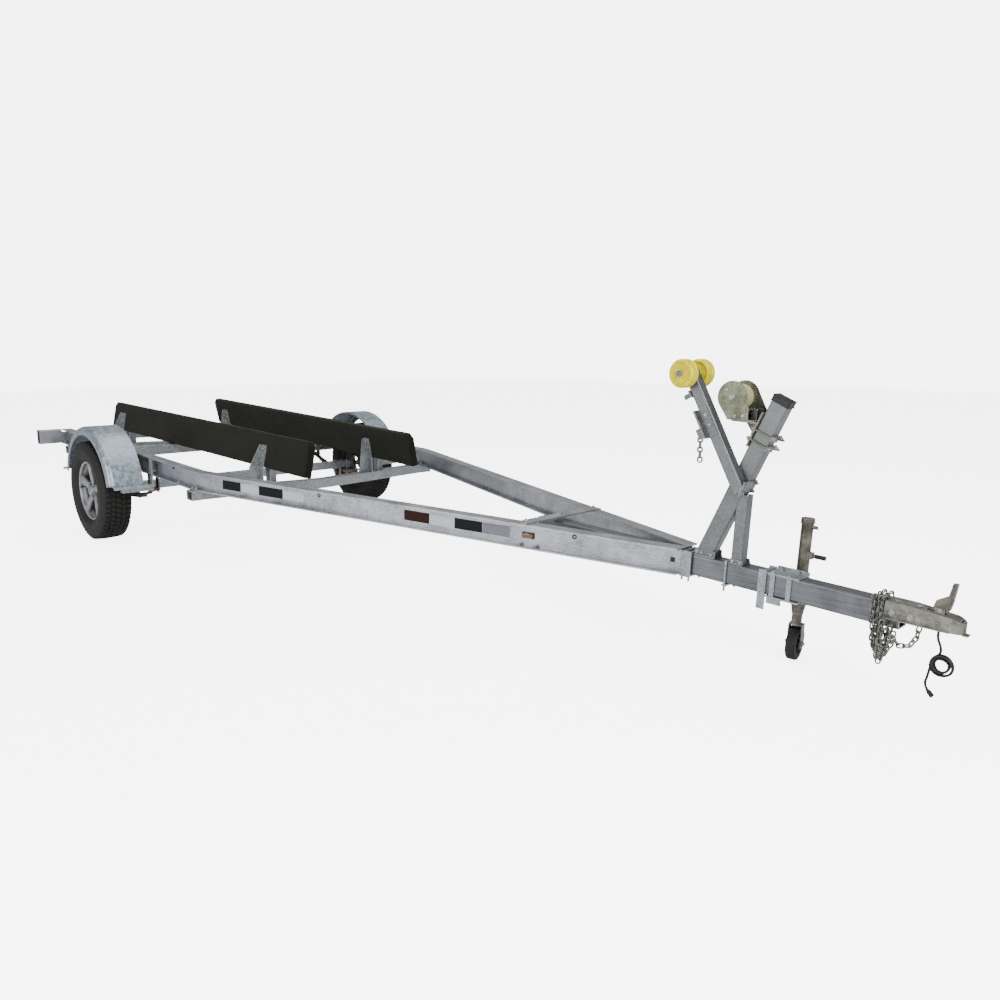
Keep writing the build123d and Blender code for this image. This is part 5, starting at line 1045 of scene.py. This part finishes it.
def build_lamps():
    """Lamps: ribbed tail lamps on the rear boxes and amber side markers on the beams."""
    bm = bmesh.new()
    for side in (-1, 1):
        rear = at(REAR_FACE_X, side * LAMP_Y, BEAM_MID) @ turned((-1, 0, 0), (0, 1, 0))
        add(bm, block((-0.069, -0.046, 0.0), (0.069, 0.046, 0.008), 0.003), rear, skin=2)
        lens = block((-0.064, -0.041, 0.008), (0.064, 0.041, 0.0215), 0.0)
        bmesh.ops.bevel(lens, geom=[e for e in lens.edges if all(v.co.z > 0.02 for v in e.verts)],
                        offset=0.006, offset_type="OFFSET", segments=3, profile=0.5, affect="EDGES",
                        material=-1)
        add(bm, lens, rear, skin=0)
        for i in range(11):
            y = -0.035 + i * 0.007
            rib = block((-0.056, y - 0.0009, 0.0210), (0.056, y + 0.0009, 0.0220), 0.0003, 1)
            add(bm, rib, rear, skin=0)
        screw = [(0, 0.0222), (0.003, 0.0222), (0.0045, 0.0215), (0.0045, 0.0200)]
        for x in (-0.050, 0.050):
            add(bm, lathe(screw, 14), rear @ at(x, 0, 0), skin=3)
    marker = bmesh.new()
    spot = beam_place(MARKER_X) @ at(0, 0, TAPE_Z) @ turned((0, 1, 0), (1, 0, 0))
    add(marker, block((-0.0330, -0.0150, 0.0), (0.0330, 0.0150, 0.006), 0.002), spot, skin=2)
    add(marker, block((-0.0295, -0.0120, 0.005), (0.0295, 0.0120, 0.0175), 0.0045, 3), spot, skin=1)
    for i in range(9):
        x = -0.024 + i * 0.006
        rib = block((x - 0.0006, -0.0085, 0.0170), (x + 0.0006, 0.0085, 0.0180), 0.0002, 1)
        add(marker, rib, spot, skin=1)
    add(bm, marker.copy(), skin=None)
    add(bm, mirrored(marker, -1), skin=None)
    piece("lamp_lenses", bm, "frame", ["red", "amber", "plastic", "bolt"], ["lamps"])
    # painted shade: thin black plates on the ends of the rear boxes stand in for the shade inside the open
    # tube ends
    ends = bmesh.new()
    for y in (-BOX_END_Y, BOX_END_Y):
        add(ends, block((-1.4165, y - 0.0016, 0.5005), (-1.3575, y + 0.0016, 0.6095), 0.0006, 1))
    piece("lamp_box_end_shade", ends, "frame", ["plastic"])


# ---------------------------------------------------------------- winch stand
def stand_place(foot, tip):
    """Frame of a leaning member: z along it, y to the left, x square to its face."""
    return Matrix.Translation(foot) @ turned(Vector(tip) - Vector(foot), (1, 0, 0))


def build_stand():
    """Winch stand: finishes of post, strut and arm, the black cap's rim, and the clamp nuts."""
    dress_nodes("stand", "winch_post", "winch_strut", "roller_arm", "stand_clamps", "bow_hook")
    dress_nodes("plastic", "post_cap")
    post = stand_place(POST_FOOT, POST_TOP)
    bm = bmesh.new()
    height = (POST_TOP - POST_FOOT).length
    cap = block((-0.0408, -0.0284, height + 0.0075), (0.0408, 0.0284, height + 0.0128), 0.0024, 3)
    add(bm, cap, post)
    add(bm, block((-0.0416, -0.0291, height - 0.0145), (0.0416, 0.0291, height - 0.0115), 0.0010, 1), post)
    piece("post_cap_rim", bm, "frame", ["plastic"])
    bits = bmesh.new()
    for side in (-1, 1):
        for dx in (-0.024, 0.0, 0.046):
            foot = at(POST_X + dx, side * 0.0306, TONGUE_TOP + 0.017) @ turned((0, side, 0))
            add(bits, hex_nut(NUT_14, 0.007, 0.003), foot)
        for dx in (-0.012, 0.022):
            foot = at(STRUT_X + dx, side * 0.0306, TONGUE_TOP + 0.011) @ turned((0, side, 0))
            add(bits, hex_nut(NUT_12, 0.006, 0.002), foot)
    # the winch bracket's two U-bolts round the post
    for z in (1.106, 1.146):
        share = (z - TONGUE_TOP) / (POST_TOP.z - TONGUE_TOP)
        middle = POST_FOOT.lerp(POST_TOP, share)
        here = Matrix.Translation(middle) @ turned(POST_TOP - POST_FOOT, (1, 0, 0))
        for side in (-1, 1):
            ahead = here @ at(0.0440, side * 0.0305, 0) @ turned((1, 0, 0))
            add(bits, hex_nut(NUT_17, 0.009, 0.010), ahead)
            behind = here @ at(-0.0440, side * 0.0305, 0) @ turned((-1, 0, 0))
            add(bits, hex_nut(NUT_17, 0.008, 0.004), behind)
    arm = stand_place(ARM_FOOT, ARM_TOP)
    for along in (0.300, 0.345):
        for y, side in ((0.0258, 1), (-0.0310, -1)):
            add(bits, hex_nut(NUT_14, 0.007, 0.003), arm @ at(0.004, y, along) @ turned((0, side, 0)))
    piece("stand_nuts", bits, "frame", ["bolt"])


def build_rollers():
    """Bow rollers: grooved vinyl with moulded rims and webs, and the pin's end nuts."""
    width = 0.058
    half = [(0.0085, 0.0), (0.0200, 0.0), (0.0215, 0.0045), (0.0440, 0.0045), (0.0485, 0.0),
            (0.0510, 0.0008), (0.0575, 0.0080), (0.0590, 0.0115), (0.0590, 0.0205), (0.0578, 0.0235),
            (0.0540, 0.0262), (0.0532, 0.0290)]
    profile = half + [(r, width - z) for r, z in reversed(half[:-1])]
    for side, name in ((-1, "right"), (1, "left")):
        bm = bmesh.new()
        foot = ARM_TOP + Vector((0, side * 0.0335, 0))
        place = Matrix.Translation(foot) @ turned((0, side, 0))
        add(bm, lathe(profile, 72, True), place)
        for z in (0.0035, 0.0530):
            web = block((0.0205, -0.0014, z - 0.0008), (0.0450, 0.0014, z + 0.0022), 0.0006, 1)
            add(bm, web, *turns(place, 8))
        piece(f"roller_{name}_vinyl", bm, f"bow_roller_{name}_body", ["roller"],
              [f"bow_roller_{name}"], 36)
    bits = bmesh.new()
    for side in (-1, 1):
        end = Matrix.Translation(ARM_TOP + Vector((0, side * 0.0940, 0)))
        add(bits, hex_nut(NUT_22, 0.004, 0.0), end @ turned((0, side, 0)))
    piece("roller_pin_nuts", bits, "frame", ["bolt"])


def build_winch():
    """Winch: finishes of plates, drum and crank, the wound strap, ratchet cover and nuts."""
    dress_nodes("winch", "winch_frame", "winch_drum", "winch_crank")
    dress_nodes("plastic", "crank_grip")
    drum = at(DRUM_X, 0, DRUM_Z) @ turned((0, 1, 0))
    strap = bmesh.new()
    low, high = -0.0388, 0.0288
    # the edges of fourteen wraps, every other one standing out a little
    edge = [(0.0222 + 0.0021 * i + (0.0008 if i % 2 else 0.0), low + (0.0 if i % 2 else 0.0009))
            for i in range(14)]
    crown = [(0.0514, low + 0.0008), (0.0518, low + 0.008), (0.0510, -0.005), (0.0518, high - 0.008),
             (0.0514, high - 0.0008)]
    far = [(r, high - (z - low)) for r, z in reversed(edge)]
    add(strap, lathe(edge + crown + far, 72, True), drum)
    add(strap, block((0.0480, -0.0230, -0.0380), (0.0524, 0.0230, 0.0280), 0.0012, 2),
        drum @ Matrix.Rotation(math.radians(200), 4, "Z"))
    piece("strap_winding", strap, "drum_body", ["strap"], ["winch_strap"], 40)

    bm = bmesh.new()
    add(bm, block((DRUM_X + 0.0795, -0.031, WINCH_BASE_Z),
                  (DRUM_X + 0.1036, 0.021, WINCH_BASE_Z + 0.047), 0.004, 3))
    add(bm, block((DRUM_X + 0.083, -0.006, WINCH_BASE_Z + 0.044),
                  (DRUM_X + 0.100, 0.004, WINCH_BASE_Z + 0.055), 0.002, 2))
    piece("ratchet_cover", bm, "frame", ["plastic"])
    bits = bmesh.new()
    for side in (-1, 1):
        out = turned((0, side, 0))
        add(bits, hex_nut(NUT_22, 0.006, 0.0), at(DRUM_X, side * 0.0520, DRUM_Z) @ out)
        add(bits, hex_nut(NUT_14, 0.006, 0.002),
            at(DRUM_X + 0.020, side * 0.0522, WINCH_BASE_Z + 0.010) @ out)
        add(bits, hex_nut(NUT_12, 0.005, 0.002),
            at(DRUM_X + 0.055, side * 0.0522, WINCH_BASE_Z + 0.016) @ out)
        rivet = [(0.0, 0.0030), (0.0055, 0.0030), (0.0075, 0.0010), (0.0075, 0.0)]
        add(bits, lathe(rivet, 18), at(DRUM_X - 0.030, side * 0.0520, DRUM_Z + 0.028) @ out)
    for dx in (0.000, 0.060):
        for y in (-0.030, 0.030):
            add(bits, hex_nut(NUT_14, 0.007, 0.003), at(DRUM_X + dx, y, WINCH_BASE_Z))
    piece("winch_nuts", bits, "frame", ["bolt"])


# ---------------------------------------------------------------- jack, chains and coupler
def build_jack():
    """Jack: finishes of tube, leg and fork, its cap, welds and grip, and the caster wheel."""
    dress_nodes("jack", "jack_tube", "jack_leg", "jack_fork")
    dress_nodes("galv", "jack_mount")
    low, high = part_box("jack_wheel")
    middle = PARKED.inverted() @ ((Vector(low) + Vector(high)) / 2)
    # the caster stands turned by this much from straight ahead
    spin = math.radians(100)
    place = Matrix.Translation(middle) @ turned((math.sin(spin), -math.cos(spin), 0))
    bm = bmesh.new()
    tread = [(0.0470, -0.0150), (0.0500, -0.0190), (0.0600, -0.0200), (0.0675, -0.0208),
             (0.0712, -0.0188), (0.0736, -0.0140), (0.0740, -0.0080), (0.0738, -0.0020)]
    add(bm, lathe(tread + [(r, -z) for r, z in reversed(tread)], 64, True), place)
    hub = [(0.0064, -0.0200), (0.0140, -0.0200), (0.0150, -0.0120), (0.0420, -0.0090),
           (0.0450, -0.0170), (0.0475, -0.0170), (0.0475, 0.0)]
    add(bm, lathe(hub + [(r, -z) for r, z in reversed(hub[:-1])], 48, True), place, skin=1)
    for z in (-0.0145, 0.0145):
        rib = block((0.0140, -0.0016, z - 0.0045), (0.0460, 0.0016, z + 0.0045), 0.0006, 1)
        add(bm, rib, *turns(place, 10), skin=1)
    piece("caster_tyre", bm, "jack_wheel_body", ["caster", "plastic"], ["jack_wheel"])

    tube = bmesh.new()
    axis = at(JACK_X, JACK_Y, 0)
    cap = [(0.0, -0.0002), (0.0272, -0.0001), (0.0276, -0.0019), (0.0276, -0.0207), (0.0270, -0.0223),
           (0.0246, -0.0225)]
    add(tube, lathe(cap, 40), axis @ at(0, 0, 0.8080))
    weld = [(0.0238, -0.0022), (0.0250, -0.0020), (0.0258, 0.0), (0.0250, 0.0020), (0.0238, 0.0022)]
    for z in (0.4745, 0.5770):
        add(tube, lathe(weld, 40, True), axis @ at(0, 0, z))
    grip = lathe([(0.0, 0.0), (0.0088, 0.0), (0.0096, 0.0030), (0.0092, 0.0200), (0.0098, 0.0380),
                  (0.0090, 0.0418), (0.0, 0.0424)], 24)
    add(tube, grip, at(JACK_X + 0.0480, JACK_Y, 0.656) @ turned((1, 0, 0)), skin=1)
    piece("jack_tube_trim", tube, "jack_body", ["jack", "plastic"])
    bits = bmesh.new()
    for side in (-1, 1):
        end = place @ at(0, 0, side * 0.0300) @ turned((0, 0, side))
        add(bits, hex_nut(NUT_17, 0.006, 0.003), end)
    piece("jack_wheel_nuts", bits, "jack_fork_body", ["bolt"])
    mount = bmesh.new()
    for x in (JACK_X - 0.046, JACK_X + 0.064):
        for z in (TONGUE_BOTTOM - 0.010, TONGUE_TOP + 0.006):
            add(mount, hex_nut(NUT_17, 0.008, 0.004), at(x, 0.0462, z) @ turned((0, 1, 0)))
    piece("jack_mount_nuts", mount, "frame", ["bolt"])


def chain_link():
    """One welded link: a round wire bent to an oval, long side along x."""
    half_l, half_w = (LINK_LENGTH - LINK_WIRE) / 2, (LINK_WIDTH - LINK_WIRE) / 2
    turn = half_w * 1.15
    bend = [(half_l - turn, half_w), (half_l - turn * 0.25, half_w * 0.86), (half_l + 0.0008, 0),
            (half_l - turn * 0.25, -half_w * 0.86), (half_l - turn, -half_w)]
    points = [(x, y, 0) for x, y in bend] + [(-x, -y, 0) for x, y in bend]
    return tube_path(points, LINK_WIRE / 2, loop=True, sides=1)


def lay_chain(bm, points):
    """Links along a line of points, every other one turned a quarter."""
    pitch = LINK_LENGTH - 2 * LINK_WIRE - 0.0003
    carry, count = 0.0, 0
    places = []
    for start, end in zip(points, points[1:]):
        run = Vector(end) - Vector(start)
        unit = run.normalized()
        level = Vector((0, 1, 0)) if abs(unit.y) < 0.8 else Vector((1, 0, 0))
        side = (level - unit * level.dot(unit)).normalized()
        other = unit.cross(side)
        reach = carry
        while reach <= run.length:
            flip = 1 if count % 2 else -1
            flat = side * math.cos(LINK_LEAN) + other * math.sin(LINK_LEAN) * flip
            places.append(Matrix.Translation(Vector(start) + unit * reach) @ turned(flat, unit))
            reach += pitch
            count += 1
        carry = reach - run.length
    add(bm, chain_link(), *places)


def build_chains():
    """Safety chains: wrapped round the tongue, gathered in a bundle below and looped forward."""
    bm = bmesh.new()
    side, low = TONGUE_HALF + 0.011, TONGUE_BOTTOM
    middle_z = (TONGUE_BOTTOM + TONGUE_TOP) / 2
    # two wraps over the tongue behind the coupler
    for back in (0.039, 0.014):
        x = COUPLER_REAR_X - back
        lay_chain(bm, [(x, side, middle_z - 0.010), (x, side, TONGUE_TOP + 0.011),
                       (x, -side, TONGUE_TOP + 0.011), (x, -side, low)])
    middle = COUPLER_REAR_X + 0.008
    # hanging strands: how far forward, down to the top, down to the tip, and outward
    strands = ((-0.038, 0.006, 0.104, 0.002), (-0.011, 0.004, 0.128, 0.002),
               (0.012, 0.012, 0.124, 0.002), (0.036, 0.018, 0.104, 0.002),
               (-0.026, -0.012, 0.112, 0.016), (-0.002, -0.020, 0.120, 0.020),
               (0.024, -0.006, 0.108, 0.016), (-0.020, 0.016, 0.096, -0.012),
               (0.018, 0.008, 0.100, -0.014), (0.002, 0.000, 0.110, 0.034))
    for spread, top, tip, out in strands:
        head = (middle + spread, -side - out, low - top)
        waist = (middle + spread * 0.9, -side - out * 1.2, low - tip * 0.55)
        foot = (middle + spread * 0.3, -side - out * 0.6, low - tip)
        lay_chain(bm, [head, waist, foot])
    # the loop forward to its anchor under the coupler
    x = COUPLER_REAR_X + 0.044
    lay_chain(bm, [(x, -side - 0.004, low - 0.030), (x + 0.022, -side + 0.010, low - 0.056),
                   (x + 0.052, -side + 0.022, low - 0.052), (x + 0.072, -side + 0.024, low - 0.014),
                   (x + 0.076, -side + 0.024, COUPLER_LOW - 0.012)])
    piece("chain_links", bm, "frame", ["chain"], ["safety_chains"], 60)


def build_coupler():
    """Coupler: finishes of its shell and latch lever, side bolts, latch pin heads and top rivets."""
    dress_nodes("zinc", "coupler")
    dress_nodes("jack", "coupler_latch")
    bits = bmesh.new()
    for side in (-1, 1):
        for x in (COUPLER_REAR_X + 0.028, COUPLER_REAR_X + 0.092):
            add(bits, hex_nut(NUT_19, 0.009, 0.004), at(x, side * 0.0432, 0.563) @ turned((0, side, 0)))
        pin_head = lathe([(0, 0.0030), (0.0070, 0.0026), (0.0088, 0.0)], 20)
        add(bits, pin_head, at(LATCH_X, side * 0.0162, 0.602) @ turned((0, side, 0)))
    for x in (COUPLER_REAR_X + 0.030, COUPLER_REAR_X + 0.105):
        add(bits, lathe([(0, 0.0032), (0.0075, 0.0028), (0.0105, 0.0)], 24), at(x, 0, COUPLER_TOP))
    piece("coupler_fixings", bits, "frame", ["bolt"])


# ---------------------------------------------------------------- sizes and colours
class BoatTrailerSizes(bpy.types.PropertyGroup):
    """Sizes and colours of the trailer's visible detail"""
    tread_blocks: IntProperty(
        name="Tread blocks", description="Blocks in each ring of a tyre's tread",
        default=58, min=30, max=80)
    tread_depth: FloatProperty(
        name="Tread depth", description="Depth of the tread grooves",
        default=0.0085, min=0.004, max=0.012, unit="LENGTH")
    spokes: IntProperty(
        name="Spokes", description="Spokes in each road wheel",
        default=5, min=4, max=8)
    tape_height: FloatProperty(
        name="Tape height", description="Height of the reflective tape",
        default=0.055, min=0.025, max=0.06, unit="LENGTH")
    lead_length: FloatProperty(
        name="Lead length", description="Length of the lamp lead",
        default=1.05, unit="LENGTH")
    carpet_tint: FloatVectorProperty(
        name="Carpet", description="Colour of the bunk carpet",
        subtype="COLOR", size=3, default=linear("#14150D")[:3], min=0, max=1)
    roller_tint: FloatVectorProperty(
        name="Rollers", description="Colour of the bow rollers",
        subtype="COLOR", size=3, default=linear("#A89400")[:3], min=0, max=1)
    floor_tint: FloatVectorProperty(
        name="Floor", description="Colour of the studio floor",
        subtype="COLOR", size=3, default=linear("#FAFAFA")[:3], min=0, max=1)
    sky: FloatProperty(
        name="Sky", description="Brightness of the soft surrounding light",
        default=0.5, min=0, max=4)
    backdrop: FloatProperty(
        name="Backdrop", description="Brightness of the paper and air behind the trailer as seen",
        default=6.0, min=0, max=12)
    key_light: FloatProperty(
        name="Key light", description="Power of the key light",
        default=1150, min=0, max=3000, unit="POWER")


class TRAILER_OT_stage(bpy.types.Operator):
    """Sets the camera, floor and lights"""
    bl_idname = "trailer.stage"
    bl_label = "Stage"

    def execute(self, context):
        build_stage()
        return {"FINISHED"}


class TRAILER_OT_cord(bpy.types.Operator):
    """Hangs the lamp lead and its plug"""
    bl_idname = "trailer.cord"
    bl_label = "Lamp lead"

    def execute(self, context):
        build_cord()
        return {"FINISHED"}


class TRAILER_OT_beams(bpy.types.Operator):
    """Finishes the beams and tongue and adds tape and bolts"""
    bl_idname = "trailer.beams"
    bl_label = "Beams and tongue"

    def execute(self, context):
        build_beams()
        return {"FINISHED"}


class TRAILER_OT_tyres(bpy.types.Operator):
    """Builds the tyres with their tread"""
    bl_idname = "trailer.tyres"
    bl_label = "Tyres"

    def execute(self, context):
        build_tyres()
        return {"FINISHED"}


class TRAILER_OT_wheels(bpy.types.Operator):
    """Builds the spoked wheels and their nuts"""
    bl_idname = "trailer.wheels"
    bl_label = "Wheels"

    def execute(self, context):
        build_wheels()
        return {"FINISHED"}


class TRAILER_OT_springs(bpy.types.Operator):
    """Builds the leaf springs and finishes the axle"""
    bl_idname = "trailer.springs"
    bl_label = "Springs and axle"

    def execute(self, context):
        build_springs()
        return {"FINISHED"}


class TRAILER_OT_fenders(bpy.types.Operator):
    """Finishes the fenders and adds their wired edges"""
    bl_idname = "trailer.fenders"
    bl_label = "Fenders"

    def execute(self, context):
        build_fenders()
        return {"FINISHED"}


class TRAILER_OT_bunks(bpy.types.Operator):
    """Builds the carpeted bunks and their fixings"""
    bl_idname = "trailer.bunks"
    bl_label = "Bunks"

    def execute(self, context):
        build_bunks()
        return {"FINISHED"}


class TRAILER_OT_lamps(bpy.types.Operator):
    """Builds the tail lamps and side markers"""
    bl_idname = "trailer.lamps"
    bl_label = "Lamps"

    def execute(self, context):
        build_lamps()
        return {"FINISHED"}


class TRAILER_OT_stand(bpy.types.Operator):
    """Finishes the winch stand and adds its nuts"""
    bl_idname = "trailer.stand"
    bl_label = "Winch stand"

    def execute(self, context):
        build_stand()
        return {"FINISHED"}


class TRAILER_OT_rollers(bpy.types.Operator):
    """Builds the bow rollers"""
    bl_idname = "trailer.rollers"
    bl_label = "Bow rollers"

    def execute(self, context):
        build_rollers()
        return {"FINISHED"}


class TRAILER_OT_winch(bpy.types.Operator):
    """Finishes the winch and winds its strap"""
    bl_idname = "trailer.winch"
    bl_label = "Winch"

    def execute(self, context):
        build_winch()
        return {"FINISHED"}


class TRAILER_OT_jack(bpy.types.Operator):
    """Finishes the jack and builds its caster wheel"""
    bl_idname = "trailer.jack"
    bl_label = "Jack"

    def execute(self, context):
        build_jack()
        return {"FINISHED"}


class TRAILER_OT_chains(bpy.types.Operator):
    """Builds the safety chains"""
    bl_idname = "trailer.chains"
    bl_label = "Safety chains"

    def execute(self, context):
        build_chains()
        return {"FINISHED"}


class TRAILER_OT_coupler(bpy.types.Operator):
    """Finishes the coupler and its latch"""
    bl_idname = "trailer.coupler"
    bl_label = "Coupler"

    def execute(self, context):
        build_coupler()
        return {"FINISHED"}


STEPS = (TRAILER_OT_stage, TRAILER_OT_cord, TRAILER_OT_beams, TRAILER_OT_tyres, TRAILER_OT_wheels,
         TRAILER_OT_springs, TRAILER_OT_fenders, TRAILER_OT_bunks, TRAILER_OT_lamps, TRAILER_OT_stand,
         TRAILER_OT_rollers, TRAILER_OT_winch, TRAILER_OT_jack, TRAILER_OT_chains, TRAILER_OT_coupler)


class TRAILER_PT_panel(bpy.types.Panel):
    """Lists the trailer's sizes and building steps"""
    bl_label = "Boat trailer"
    bl_idname = "TRAILER_PT_panel"
    bl_space_type = "VIEW_3D"
    bl_region_type = "UI"
    bl_category = "Trailer"

    def draw(self, context):
        for name in BoatTrailerSizes.__annotations__:
            self.layout.prop(context.scene.boat_trailer, name)
        for step in STEPS:
            self.layout.operator(step.bl_idname)


CLASSES = (BoatTrailerSizes, *STEPS, TRAILER_PT_panel)


def register():
    for each in CLASSES:
        bpy.utils.register_class(each)
    bpy.types.Scene.boat_trailer = PointerProperty(type=BoatTrailerSizes)


def unregister():
    del bpy.types.Scene.boat_trailer
    for each in reversed(CLASSES):
        bpy.utils.unregister_class(each)


def main():
    """Builds the whole trailer."""
    register()
    bpy.ops.trailer.stage()
    bpy.ops.trailer.cord()
    bpy.ops.trailer.beams()
    bpy.ops.trailer.tyres()
    bpy.ops.trailer.wheels()
    bpy.ops.trailer.springs()
    bpy.ops.trailer.fenders()
    bpy.ops.trailer.bunks()
    bpy.ops.trailer.lamps()
    bpy.ops.trailer.stand()
    bpy.ops.trailer.rollers()
    bpy.ops.trailer.winch()
    bpy.ops.trailer.jack()
    bpy.ops.trailer.chains()
    bpy.ops.trailer.coupler()


if __name__ == "__main__":
    main()
